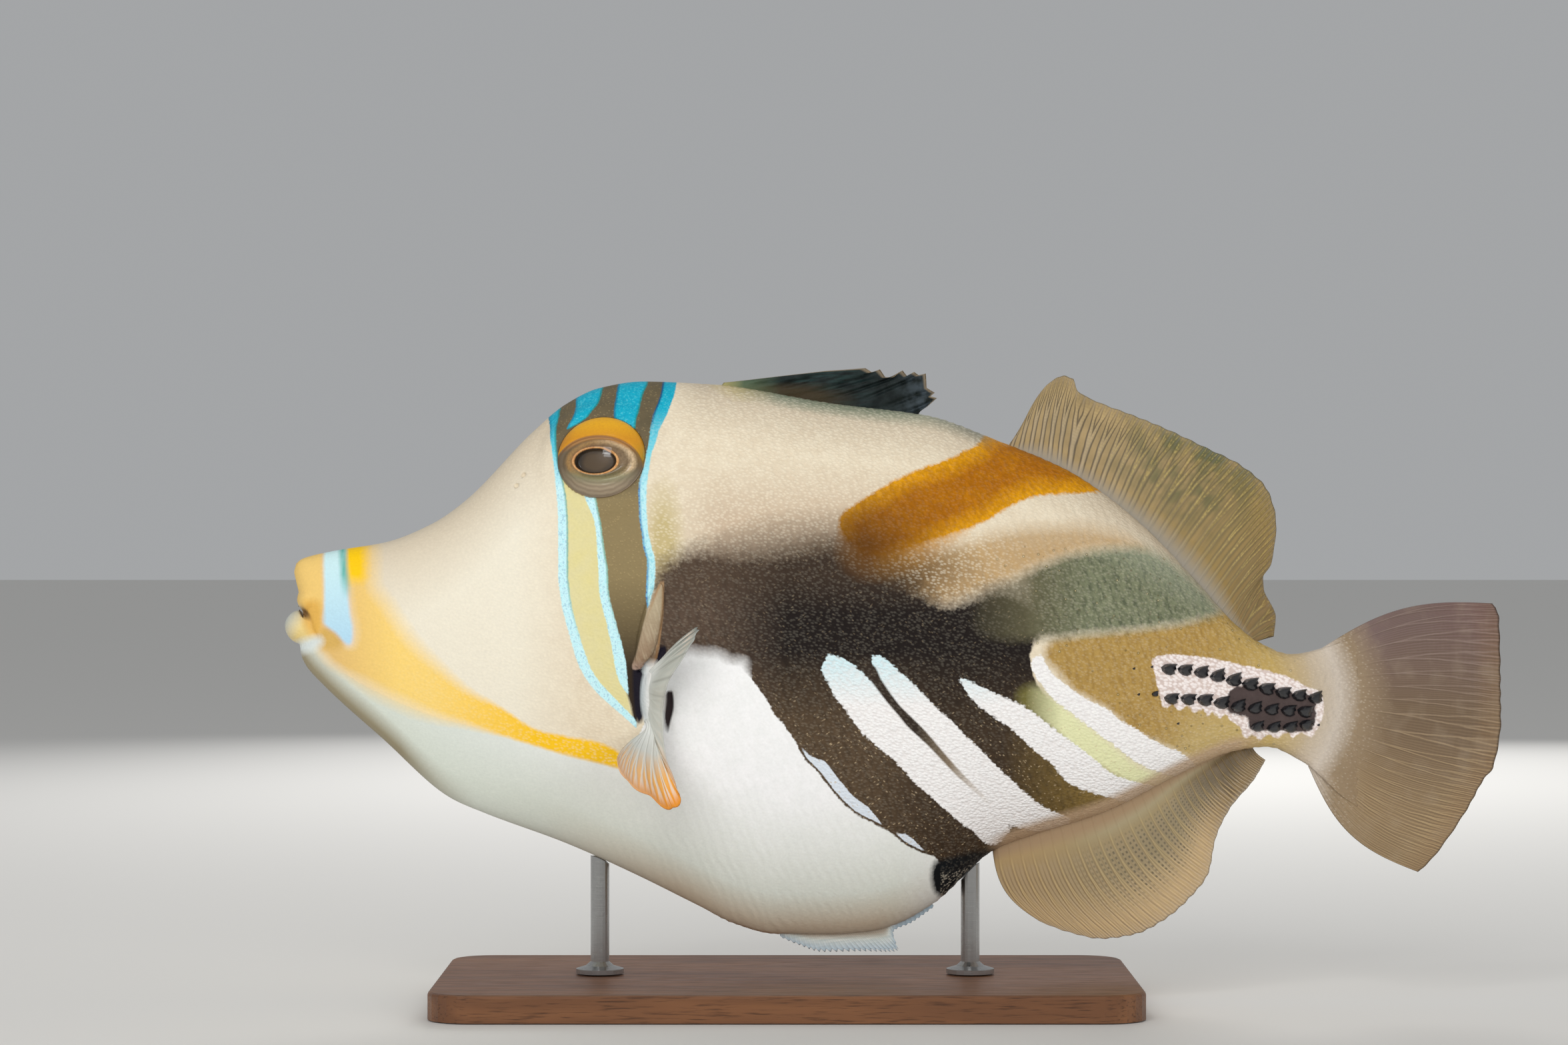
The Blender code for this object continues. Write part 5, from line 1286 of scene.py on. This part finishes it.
# The tail fin's stations are (share of its root from the top, margin's place, margin's height).
TAIL_FIN_STATIONS = (
    (0.00, 112.5, 74.6), (0.09, 113.7, 72.0), (0.25, 114.0, 62.0), (0.45, 114.0, 52.8),
    (0.58, 112.5, 44.0), (0.64, 110.6, 41.5), (0.78, 107.5, 35.9), (0.93, 101.2, 26.8),
    (1.00, 98.5, 24.1),
)
TAIL_FIN_ROOT_TOP = (80.0, 66.0)
TAIL_FIN_ROOT_BOTTOM = (77.8, 44.0)
ROOT_SINK = 1.2
REAR_RAYS = 0.3  # how much closer together the rays stand at a fin's rear end
FIRST_SPLIT = (0.42, 0.82)  # where, from the root to the margin, a ray splits in two
SECOND_SPLIT = (0.78, 1.0)  # and each half again


def ray_ridges(u, t, rays, width=0.10):
    """1 on a ray and 0 on the skin between; the rays split in two and then in four."""
    middle = np.abs((u + REAR_RAYS * u**8) * rays % 1 - 0.5)
    away = np.abs(middle - 0.25 * gentle(t, *FIRST_SPLIT))
    away = np.abs(away - 0.125 * gentle(t, *SECOND_SPLIT))
    return np.exp(-((away / width) ** 2))


def thinned(half, u, t, ends, margin=0.05, root=0.02):
    """Half a fin's thickness, brought to nothing at its ends, its margin and its hidden root."""
    edge = np.sqrt(np.clip(np.minimum(u, 1 - u) * ends, 0, 1))
    return half * edge * np.sqrt(np.clip((1 - t) / margin, 0, 1)) * np.clip(t / root, 0, 1)


def rayed(rays, root, skin, ridge, tip, fleshy):
    """Half the thickness of a fin with that many rays, which thins to nothing at its edges."""
    def half_thickness(u, t):
        flesh = np.exp(-((t / fleshy) ** 2))
        half = skin + (tip - skin) * t
        half = half + ridge * (1 - 0.6 * t) * ray_ridges(u, t, rays) * (1 - flesh)
        half = half + (root - half) * flesh
        return thinned(half, u, t, rays * 2.5, margin=0.02, root=0.01)
    return half_thickness


STEP = 0.002  # the share of a fin over which its slope is measured


def make_fin(name, sheet, half_thickness, columns, rows, sideways=True):
    """A thin closed solid round sheet(u, t), where t runs from the root to the margin."""
    def place(s, t):
        u = 1 - np.abs(2 * s - 1)
        middle = sheet(u, t)
        out = np.array([[0.0, 1.0, 0.0]])
        if not sideways:
            across = sheet(np.minimum(u + STEP, 1), t) - sheet(np.maximum(u - STEP, 0), t)
            along = sheet(u, np.minimum(t + STEP, 1)) - sheet(u, np.maximum(t - STEP, 0))
            out = np.cross(across, along)
            out /= np.linalg.norm(out, axis=1)[:, None]
        half = half_thickness(u, t) * np.where(s < 0.5, -1, 1)
        return middle + out * half[:, None]

    return new_object(name, wrapped(2 * columns, rows, place))


def ray_reach(u, t, rays, scallop):
    """How far out along its ray each point stands, a little less between rays at the margin."""
    between = 0.5 - 0.5 * np.cos(2 * math.pi * rays * (u - 0.5 / rays))
    return t * (1 - scallop * between * t**6)


def along_rays(base, ray, reach, bend, waved):
    """Points that far along rays which bow by that share of their length and wave sideways."""
    (base_x, base_z), (ray_x, ray_z) = base, ray
    return np.column_stack([
        base_x + ray_x * reach - ray_z * bend, waved, base_z + ray_z * reach + ray_x * bend,
    ])


def median_sheet(edge, side, stations, bow=0.0, front_bow=0.0, scallop=0.0, rays=1, sway=0.0):
    """The middle sheet of a fin along the back (side 1) or the belly (side -1)."""
    stations = np.array(stations)
    margin_x = through(stations[:, (0, 1)])
    margin_z = through(stations[:, (0, 2)])
    first, last = stations[0][0], stations[-1][0]

    def sheet(u, t):
        root = first + (last - first) * u
        slope = np.column_stack([np.ones(len(u)), edge(root + 0.5) - edge(root - 0.5)])
        slope /= np.linalg.norm(slope, axis=1)[:, None]
        base = (root + slope[:, 1] * side * ROOT_SINK, edge(root) - slope[:, 0] * side * ROOT_SINK)
        ray = (margin_x(root) - base[0], margin_z(root) - base[1])
        bend = (bow + front_bow * (1 - u) ** 6) * np.sin(math.pi * t) * side
        waved = sway * np.sin(2.2 * math.pi * u + 0.6) * t**2
        return along_rays(base, ray, ray_reach(u, t, rays, scallop), bend, waved)

    return sheet


def tail_fin_sheet(rays):
    stations = np.array(TAIL_FIN_STATIONS)
    margin_x = through(stations[:, (0, 1)])
    margin_z = through(stations[:, (0, 2)])
    top, bottom = TAIL_FIN_ROOT_TOP, TAIL_FIN_ROOT_BOTTOM

    def sheet(u, t):
        base = [top[axis] + (bottom[axis] - top[axis]) * u for axis in (0, 1)]
        ray = (margin_x(u) - base[0], margin_z(u) - base[1])
        bend = (0.10 * (1 - u) ** 2 - 0.13 * u**2) * np.sin(math.pi * t)
        waved = 0.7 * np.sin(2 * math.pi * u + 0.4) * t**2
        return along_rays(base, ray, ray_reach(u, t, rays, 0.004), bend, waved)

    return sheet


def fin_lines(place, rays):
    """(u, t, distance from the nearest ray's middle, distance from its nearest branch)."""
    u, t, _ = parts_of(place.attribute("spread", "Vector"))
    u = u + (place.noise(3.0) - 0.5) * (0.10 / rays)
    run = (u + u**8 * REAR_RAYS) * rays
    main = (run.math("FRACT", run) - 0.5).size()
    away = (main - t.rising(*FIRST_SPLIT) * 0.25).size()
    away = (away - t.rising(*SECOND_SPLIT) * 0.125).size()
    return u, t, main, away


def paint_second_dorsal(rays):
    material, place = new_material("second_dorsal_skin", {"Specular IOR Level": 0.25})
    u, t, _, away = fin_lines(place, rays)
    cloud = place.noise(4.0, 3)
    fine = place.noise(0.5, 2)
    skin = cloud.rising(0.3, 0.7).mixed(tint(186, 160, 112), tint(164, 141, 96))
    skin = skin.painted(u.rising(0.45, 0.8) * 0.8, 160, 132, 70)
    green = u.rising(0.34, 0.54) * u.rising(0.82, 0.62) * t.rising(0.2, 0.6)
    skin = skin.painted(green * cloud.rising(0.35, 0.6) * 0.8, 84, 98, 58)
    skin = skin.painted(u.rising(0.80, 0.96) * 0.6, 132, 106, 70)
    wide = away / (1 - t.rising(*FIRST_SPLIT) * 0.5)
    fill = wide.rising(0.24, 0.14) * t.rising(0.95, 0.5)
    colour = (fill * 0.5).mixed(skin, u.rising(0.3, 0.5).mixed(tint(184, 170, 146), tint(158, 142, 104)))
    lines = (wide - 0.21).size().rising(0.10, 0.03) * t.rising(0.06, 0.16) * t.rising(1.0, 0.8)
    colour = colour.painted(lines * u.rising(0.7, 0.3) * 0.5 + lines * 0.25, 74, 64, 50)
    # painted golden highlights along the rays at the rear
    pale = wide.rising(0.10, 0.03) * fine.rising(0.42, 0.55) * t.rising(0.25, 0.5)
    colour = colour.painted(pale * u.rising(0.25, 0.5) * 0.5, 208, 184, 112)
    bands = ((t * 170).cosine() + 1) / 2 * away.rising(0.10, 0.05) * t.rising(0.25, 0.5)
    colour = colour.painted(bands * 0.12, 110, 96, 70)
    wisps = ((u * rays * 6 * math.pi).cosine() * 0.5 + 0.5) * t.rising(0.2, 0.4) * u.rising(0.3, 0.6)
    colour = colour.painted(wisps * 0.35, 104, 90, 54)
    colour = colour.painted(t.rising(0.26, 0.08) * 0.9, 152, 146, 136)
    colour.into("Base Color")
    solid = 0.74 + away.rising(0.14, 0.06) * 0.2 + t.rising(0.3, 0.1) * 0.3
    (solid - t.rising(0.86, 1.0) * 0.25).clamped().into("Alpha")
    (fine * 0.2 + 0.35).into("Roughness")
    (away.rising(0.15, 0.02) + fine * 0.3 + bands * 0.4).as_bump(0.12, 0.6)
    return material


def paint_anal(rays):
    material, place = new_material("anal_skin", {"Specular IOR Level": 0.25})
    u, t, main, away = fin_lines(place, rays)
    cloud = place.noise(4.0, 3)
    fine = place.noise(0.5, 2)
    skin = t.rising(0.55, 0.85).mixed(tint(164, 146, 108), tint(188, 160, 118))
    skin = skin.painted(u.rising(0.35, 0.1) * 0.7, 174, 145, 102)
    skin = skin.painted(u.rising(0.66, 0.84) * 0.9, 88, 68, 38)
    skin = skin.painted(cloud.rising(0.4, 0.7) * 0.3, 170, 146, 110)
    dark = (main - 0.32).size().rising(0.11, 0.05) * u.rising(0.22, 0.42) * u.rising(0.95, 0.8)
    dashes = ((t * 150 + cloud * 6).cosine() + 0.4).clamped()
    dark = dark * dashes * t.rising(0.22, 0.35) * t.rising(0.84, 0.70)
    colour = (dark * 0.75).mixed(skin, tint(84, 74, 54))
    smoky = u.rising(0.35, 0.55) * u.rising(0.98, 0.8) * t.rising(0.25, 0.4) * t.rising(0.8, 0.6)
    colour = colour.painted(smoky * 0.3, 112, 102, 80)
    veins = ((u * rays * 6 * math.pi).cosine() + 0.1).clamped() * u.rising(0.5, 0.3) * t.rising(0.2, 0.4)
    colour = colour.painted(veins * 0.5, 112, 86, 52)
    pale = away.rising(0.045, 0.015) * t.rising(0.16, 0.26)
    colour = colour.painted(pale * 0.35, 206, 182, 138)
    thin = ((u * rays * 8 * math.pi + cloud * 5).cosine() + 0.2).clamped() * t.rising(0.5, 0.75)
    colour = colour.painted(thin * 0.35, 232, 206, 164)
    pallid = t.rising(0.26, 0.18) * u.rising(0.25, 0.45) * u.rising(0.9, 0.75)
    colour = colour.painted(pallid * 0.8, 170, 158, 128)
    colour = colour.painted(t.rising(0.19, 0.11) * 0.95, 164, 138, 108)
    colour.into("Base Color")
    solid = 0.80 + away.rising(0.14, 0.06) * 0.15 + t.rising(0.3, 0.1) * 0.3
    (solid - t.rising(0.88, 1.0) * 0.25).clamped().into("Alpha")
    (fine * 0.2 + 0.35).into("Roughness")
    (away.rising(0.15, 0.02) + fine * 0.3 + dark * 0.3).as_bump(0.12, 0.6)
    return material


def paint_tail_fin(rays):
    material, place = new_material("tail_fin_skin", {"Specular IOR Level": 0.25})
    u, t, _, away = fin_lines(place, rays)
    x, _, z = (number / MM for number in parts_of(place))
    cloud = place.noise(5.0, 3)
    fine = place.noise(0.4, 2)
    skin = u.rising(0.10, 0.45).mixed(tint(124, 104, 100), tint(126, 106, 84))
    skin = skin.painted(u.rising(0.50, 0.85), 160, 136, 102)
    skin = skin.painted(t.rising(0.85, 1.0) * 0.5, 166, 132, 92)
    skin = skin.painted(u.rising(0.25, 0.05) * t.rising(0.6, 0.9) * 0.6, 124, 92, 92)
    wisp = ((u * rays * 14 * math.pi).cosine() * 0.5 + 0.5) * t.rising(0.2, 0.45)
    colour = (wisp * 0.45).mixed(skin, tint(92, 74, 58))
    edge = (away - 0.085).size().rising(0.05, 0.015)
    colour = colour.painted(edge * 0.25, 96, 80, 68)
    pale = away.rising(0.05, 0.015) * t.rising(0.25, 0.4)
    light = u.rising(0.3, 0.6).mixed(tint(156, 138, 128), tint(192, 168, 128))
    colour = (pale * 0.35).mixed(colour, light)
    bands = ((t * 260).cosine() + 1) / 2 * t.rising(0.4, 0.6)
    colour = colour.painted(bands * 0.06, 96, 82, 76)
    colour = colour.painted(cloud.rising(0.5, 0.75) * 0.2, 176, 160, 138)
    grain = place.drawn_out(15, 1.7).cells(0.45)
    colour = tail_root(x, z, grain, colour, colour)
    colour.into("Base Color")
    (0.95 + away.rising(0.14, 0.06) * 0.05 - t.rising(0.9, 1.0) * 0.10).clamped().into("Alpha")
    (fine * 0.2 + 0.36).into("Roughness")
    (away.rising(0.15, 0.02) + fine * 0.35 + bands * 0.15).as_bump(0.12, 0.6)
    return material


SECOND_DORSAL_RAYS = 25
ANAL_RAYS = 25
TAIL_FIN_RAYS = 16
finished(
    make_fin(
        "soft_dorsal",
        median_sheet(back_height, 1, SECOND_DORSAL_STATIONS, bow=0.03, scallop=0.008,
                     rays=SECOND_DORSAL_RAYS, sway=2.0),
        rayed(SECOND_DORSAL_RAYS, root=0.7, skin=0.18, ridge=0.07, tip=0.08, fleshy=0.10),
        SECOND_DORSAL_RAYS * 18, 56,
    ),
    "root", paint_second_dorsal(SECOND_DORSAL_RAYS), "fin", "second_dorsal_fin",
)
finished(
    make_fin(
        "soft_anal",
        median_sheet(belly_height, -1, ANAL_STATIONS, bow=0.10, front_bow=0.05, scallop=0.008,
                     rays=ANAL_RAYS, sway=-2.0),
        rayed(ANAL_RAYS, root=0.95, skin=0.18, ridge=0.07, tip=0.08, fleshy=0.16),
        ANAL_RAYS * 18, 56,
    ),
    "root", paint_anal(ANAL_RAYS), "fin", "anal_fin",
)
finished(
    make_fin(
        "caudal",
        tail_fin_sheet(TAIL_FIN_RAYS),
        rayed(TAIL_FIN_RAYS, root=0.5, skin=0.30, ridge=0.07, tip=0.10, fleshy=0.25),
        TAIL_FIN_RAYS * 26, 64,
    ),
    "root", paint_tail_fin(TAIL_FIN_RAYS), "fin", "tail_fin",
)


# The first dorsal fin, folded back along its groove: a stout first spine in front, then dark
# green-black skin whose rear edge stands in a row of points, with a thin pale hem.
FIRST_DORSAL_STATIONS = (
    (-33.0, -31.8, 116.0), (-30.0, -23.8, 116.9), (-27.0, -12.6, 118.2), (-24.0, -5.25, 118.7),
    (-23.0, -4.0, 117.9), (-21.0, -2.5, 118.5), (-19.5, -1.5, 117.0), (-18.0, 0.1, 117.0),
    (-16.0, 1.75, 118.3), (-14.0, 2.6, 117.2), (-12.0, 3.9, 118.0), (-10.5, 4.75, 117.4),
    (-8.5, 6.1, 117.7), (-6.5, 6.25, 115.0), (-4.0, 7.8, 114.1), (-2.5, 6.9, 113.4),
    (-0.5, 8.2, 113.1), (2.0, 6.4, 111.5), (4.2, 5.0, 110.6),
)
# The same edge without its points, which only stand out in the outer part of the fin.
FIRST_DORSAL_EVEN = (
    (-33.0, -31.8, 116.0), (-30.0, -23.8, 117.0), (-27.0, -13.0, 118.0), (-24.0, -6.0, 118.3),
    (-20.0, -1.5, 117.4), (-15.0, 2.2, 117.4), (-10.5, 4.9, 117.4), (-8.5, 6.0, 117.2),
    (-6.0, 6.3, 115.0), (-2.5, 6.9, 113.4), (0.5, 6.6, 112.0), (4.2, 5.0, 110.6),
)
FIRST_DORSAL_TOOTHED = 0.84  # how far out the points begin
FIRST_DORSAL_FOLDS = 7


def first_dorsal_sheet(u, t):
    stations = np.array(FIRST_DORSAL_STATIONS)
    even = np.array(FIRST_DORSAL_EVEN)
    root = stations[0, 0] + (stations[-1, 0] - stations[0, 0]) * u
    out = gentle(t, FIRST_DORSAL_TOOTHED, 1.0)
    edge = [
        through(even[:, (0, axis)])(root) * (1 - out)
        + np.interp(root, stations[:, 0], stations[:, axis]) * out
        for axis in (1, 2)
    ]
    base_z = back_height(root) - ROOT_SINK
    waved = 0.35 * np.sin(2 * math.pi * FIRST_DORSAL_FOLDS * u) * t
    return np.column_stack([root + (edge[0] - root) * t, waved, base_z + (edge[1] - base_z) * t])


def first_dorsal_thickness(u, t):
    half = 0.85 - 0.55 * t
    spine = np.exp(-(((u - 0.14) / 0.10) ** 2)) * gentle(t, 0.5, 0.8)
    half = half + 0.35 * spine * (1 - gentle(u, 0.22, 0.3))
    half = half + 0.12 * np.cos(2 * math.pi * FIRST_DORSAL_FOLDS * 2 * u) * gentle(t, 0.2, 0.5)
    return thinned(half, u, t, 30)


def paint_first_dorsal():
    material, place = new_material("first_dorsal_skin", {"Specular IOR Level": 0.2})
    _, t, _ = parts_of(place.attribute("spread", "Vector"))
    x = parts_of(place)[0] / MM
    cloud = place.noise(2.2, 4)
    streak = place.drawn_out(-6, 5.5, 0.6).noise(0.8, 3)
    skin = cloud.rising(0.35, 0.65).mixed(tint(22, 28, 28), tint(36, 44, 44))
    skin = skin.painted(streak.rising(0.45, 0.7) * 0.5 * x.rising(-2, -10), 44, 70, 68)
    skin = skin.painted(t.rising(0.60, 0.30) * x.rising(-6, -14) * 0.8, 66, 54, 34)
    skin = skin.painted(x.rising(-21, -29) * 0.8, 98, 116, 88)
    skin = skin.painted(x.rising(-28, -32) * 0.7, 184, 170, 112)
    skin = skin.painted(x.rising(0, 5) * cloud.rising(0.4, 0.6) * 0.6, 74, 84, 92)
    skin = skin.painted(t.rising(0.95, 0.985) * 0.8, 160, 142, 116)
    skin.into("Base Color")
    (cloud * 0.25 + 0.3).into("Roughness")
    (place.cells(0.5) * 0.5 + streak).as_bump(0.14, 0.7)
    return material


finished(
    make_fin("spiny_dorsal", first_dorsal_sheet, first_dorsal_thickness, 260, 30),
    "root", paint_first_dorsal(), "dark_fin", "first_dorsal_fin",
)


# The flap of skin under the belly: the keel on the hidden pelvic bone, pale blue-white, finely
# streaked, and edged with small soft spines.
PELVIC_STATIONS = (
    (-21.5, -21.2, 12.0), (-19.0, -18.0, 10.6), (-15.0, -13.2, 9.2), (-10.0, -6.2, 9.3),
    (-5.0, -0.4, 9.2), (-3.0, 1.0, 9.6), (-0.8, 0.0, 12.7), (3.0, 3.5, 14.7), (5.5, 6.0, 16.4),
    (7.2, 7.7, 17.7),
)
PELVIC_TEETH = 36


def pelvic_thickness(u, t):
    half = 0.75 - 0.45 * t
    half = half + 0.10 * np.cos(2 * math.pi * PELVIC_TEETH * u) * gentle(t, 0.4, 0.9)
    return thinned(half, u, t, 30)


def paint_pelvic():
    material, place = new_material("pelvic_skin", {"Specular IOR Level": 0.25})
    u, t, _ = parts_of(place.attribute("spread", "Vector"))
    streak = place.drawn_out(-8, 5.0, 0.65).noise(0.7, 3)
    fine = ((u * (PELVIC_TEETH * 4 * math.pi)).cosine() + 1) / 2
    skin = streak.rising(0.35, 0.65).mixed(tint(198, 206, 200), tint(226, 228, 220))
    skin = skin.painted(t.rising(0.45, 0.9) * 0.8, 178, 198, 212)
    skin = skin.painted(fine * t.rising(0.3, 0.7) * 0.25, 150, 168, 178)
    skin = skin.painted(u.rising(0.72, 0.80) * 0.7, 160, 182, 196)
    skin = skin.painted(t.rising(0.50, 0.30) * 0.8, 158, 142, 122)
    skin.into("Base Color")
    (streak * 0.2 + 0.35).into("Roughness")
    (streak + fine * 0.4).as_bump(0.12, 0.6)
    return material


finished(
    make_fin(
        "pelvic_keel",
        median_sheet(belly_height, -1, PELVIC_STATIONS, scallop=0.12, rays=PELVIC_TEETH),
        pelvic_thickness, 288, 24,
    ),
    "root", paint_pelvic(), "fin", "pelvic_flap",
)


# The breast fins: a fleshy white root that stands out from the flank, and a fan of soft rays
# folded so that the upper ones lie back in a bundle and the lower ones spread over orange skin.
BREAST_FIN_STATIONS = (
    (0.00, -36.3, 27.0, 71.0), (0.10, -35.9, 26.8, 70.4), (0.24, -38.2, 27.4, 66.0),
    (0.34, -41.8, 24.0, 59.8), (0.46, -42.6, 20.6, 55.0), (0.56, -42.4, 21.5, 49.5),
    (0.64, -40.2, 25.0, 41.9), (0.70, -39.2, 27.0, 39.4), (0.78, -40.9, 28.0, 37.4),
    (0.86, -45.2, 30.0, 40.2), (0.94, -49.4, 31.5, 43.4), (1.00, -50.9, 31.0, 47.0),
)
BREAST_FIN_ROOT_TOP = (-44.0, 62.3)
BREAST_FIN_ROOT_BOTTOM = (-44.2, 52.5)
BREAST_FIN_ROOT_DEPTH = 1.5
BREAST_FIN_RAYS = 13
BREAST_FIN_CUP = 1.2  # how far the fin bellies forward
BREAST_FIN_FOLD = 0.15
BREAST_FIN_FLESHY = (0.15, 0.25, 0.54, 0.62)  # where its share without folds begins and ends


def breast_fin_sheet(side):
    stations = np.array(BREAST_FIN_STATIONS)
    margins = [through(stations[:, (0, axis)]) for axis in (1, 2, 3)]
    top, bottom = BREAST_FIN_ROOT_TOP, BREAST_FIN_ROOT_BOTTOM

    def sheet(u, t):
        x = top[0] + (bottom[0] - top[0]) * u
        z = top[1] + (bottom[1] - top[1]) * u
        base = np.column_stack([x, side * (flank_spread(x, z) - BREAST_FIN_ROOT_DEPTH), z])
        tip = np.column_stack([margins[0](u), side * margins[1](u), margins[2](u)])
        reach = ray_reach(u, t, BREAST_FIN_RAYS, 0.03)[:, None]
        cup = np.array([[-BREAST_FIN_CUP, 0, 0]]) * np.sin(math.pi * t)[:, None]
        begun, full, waning, ended = BREAST_FIN_FLESHY
        fleshy = gentle(u, begun, full) * gentle(u, ended, waning)
        folds = BREAST_FIN_FOLD * np.sin(2 * math.pi * BREAST_FIN_RAYS * u) * gentle(t, 0.45, 0.9)
        folds *= 1 - 0.9 * fleshy
        return base + (tip - base) * reach + cup + np.column_stack([folds, folds * 0, folds * 0])

    return sheet


def paint_breast_fin():
    material, place = new_material("breast_fin_skin", {"Specular IOR Level": 0.35})
    u, t, main, away = fin_lines(place, BREAST_FIN_RAYS)
    fine = place.noise(0.6, 2)
    skin = t.rising(0.25, 0.6).mixed(tint(228, 230, 225), tint(206, 208, 200))
    skin = skin.painted(u.rising(0.30, 0.05) * t.rising(0.3, 0.7) * 0.8, 150, 158, 152)
    begun, full, waning, ended = BREAST_FIN_FLESHY
    fleshy = u.rising(begun, full) * u.rising(ended, waning)
    orange = t.rising(0.75, 0.95).mixed(tint(250, 186, 96), tint(246, 156, 10))
    orange = orange.painted(u.rising(0.80, 1.0) * 0.8, 250, 214, 176)
    colour = (u.rising(0.58, 0.68) * t.rising(0.45, 0.72)).mixed(skin, orange)
    rays = away.rising(0.13, 0.06) * t.rising(0.98, 0.85) * t.rising(0.30, 0.55)
    rays = rays * (1 - fleshy * 0.9)
    bone = t.rising(0.7, 0.9).mixed(tint(232, 232, 224), tint(246, 224, 204))
    colour = (rays * 0.85).mixed(colour, bone)
    colour = colour.painted(
        main.rising(0.38, 0.48) * u.rising(0.5, 0.3) * t.rising(0.3, 0.5) * 0.5, 150, 150, 142)
    colour.into("Base Color")
    (0.88 + t.rising(0.4, 0.2) * 0.12 - t.rising(0.9, 1.0) * 0.15).clamped().into("Alpha")
    (fine * 0.2 + 0.35).into("Roughness")
    (away.rising(0.2, 0.02) * (1 - fleshy * 0.9) + fine * 0.3).as_bump(0.14, 0.6)
    return material


breast_fin_material = paint_breast_fin()
for name, side in SIDES.items():
    finished(
        make_fin(
            "breast_fin_" + name, breast_fin_sheet(side),
            rayed(BREAST_FIN_RAYS, root=1.7, skin=0.20, ridge=0.08, tip=0.08, fleshy=0.36),
            BREAST_FIN_RAYS * 18, 48, sideways=False,
        ),
        "root", breast_fin_material, "fin", "pectoral_fin_" + name,
    )


# The stand: a flat base of oiled walnut with rounded corners, and two turned rods of brushed
# steel that carry the fish by its belly. Their solids stay, with their own finishes.
def dress_node(name, material):
    node = frame["nodes"][name]
    node.data.materials.clear()
    node.data.materials.append(material)


def walnut():
    material, place = new_material("stand_walnut", {"Specular IOR Level": 0.45})
    sawn = place.drawn_out(0, 10.0)
    warp = sawn.noise(9.0, 3)
    rings = ((parts_of(place)[1] / MM * 1.1 + warp * 26).cosine() + 1) / 2
    pores = place.drawn_out(0, 16.0).noise(0.35, 3)
    wood = rings.mixed(tint(118, 78, 50), tint(88, 55, 36))
    wood = wood.painted(warp.rising(0.3, 0.7) * 0.5, 134, 92, 60)
    wood = wood.painted(pores.rising(0.55, 0.72) * 0.7, 52, 32, 22)
    wood.into("Base Color")
    (pores * 0.25 + 0.30).into("Roughness")
    (rings * 0.3 - pores.rising(0.5, 0.7)).as_bump(0.10, 0.4)
    return material


def brushed_steel():
    material, place = new_material("stand_steel", {"Metallic": 1.0})
    turned = place.drawn_out(0, 7.0, 0.15).noise(0.7, 3)
    turned.mixed(tint(196, 196, 194), tint(168, 168, 168)).into("Base Color")
    (turned * 0.22 + 0.20).into("Roughness")
    turned.as_bump(0.02, 0.5)
    return material


dress_node("stand_base", walnut())
steel = brushed_steel()
dress_node("stand_rod_front", steel)
dress_node("stand_rod_rear", steel)


# Floor, light and camera: a pale floor and soft studio light, seen from the photograph's place.
floor = new_object("floor", bmesh.new())
grid = bmesh.new()
bmesh.ops.create_grid(grid, x_segments=1, y_segments=1, size=6)
grid.to_mesh(floor.data)
grid.free()
floor.location.z = -0.0002
floor_material, _ = new_material("floor", {"Base Color": tint(226, 224, 220), "Roughness": 0.9})
floor.data.materials.append(floor_material)

world = bpy.data.worlds.new("studio")
world.use_nodes = True
world.node_tree.nodes["Background"].inputs["Color"].default_value = tint(214, 216, 218)
world.node_tree.nodes["Background"].inputs["Strength"].default_value = 0.55
bpy.context.scene.world = world

# Each lamp's place, size, power and colour, and whether its own image shows in what is glossy.
# Their light fans out no further than this, so no lamp brightens the floor right under itself.
LAMP_SPREAD = math.radians(120)
LAMPS = {
    "key": ((-0.35, -1.00, 0.42), 0.85, 3.0, (1.0, 0.98, 0.95), False),
    "fill": ((0.50, -0.95, 0.06), 0.60, 1.7, (0.97, 0.98, 1.0), False),
    "rear": ((0.10, 0.95, 0.40), 0.60, 3.3, (1.0, 1.0, 1.0), False),
    "spark": ((-0.29, -0.86, 0.92), 0.16, 0.3, (1.0, 1.0, 1.0), True),
}
for name, (place, size, power, colour, glossy) in LAMPS.items():
    lamp = bpy.data.objects.new(name, bpy.data.lights.new(name, "AREA"))
    lamp.data.size = size
    lamp.data.spread = LAMP_SPREAD
    lamp.data.energy = power
    lamp.data.color = colour
    lamp.visible_glossy = glossy
    lamp.location = place
    aim = Vector((-0.01, 0, 0.06)) - Vector(place)
    lamp.rotation_euler = aim.to_track_quat("-Z", "Y").to_euler()
    bpy.context.scene.collection.objects.link(lamp)

bpy.context.scene.view_settings.view_transform = "Standard"
camera = bpy.data.objects.new("camera", bpy.data.cameras.new("camera"))
camera.data.lens = 100
camera.data.sensor_width = 36
camera.location = (-0.0205, -0.81667, 0.08975)
camera.rotation_euler = (math.pi / 2, 0, 0)
bpy.context.scene.collection.objects.link(camera)
bpy.context.scene.camera = camera
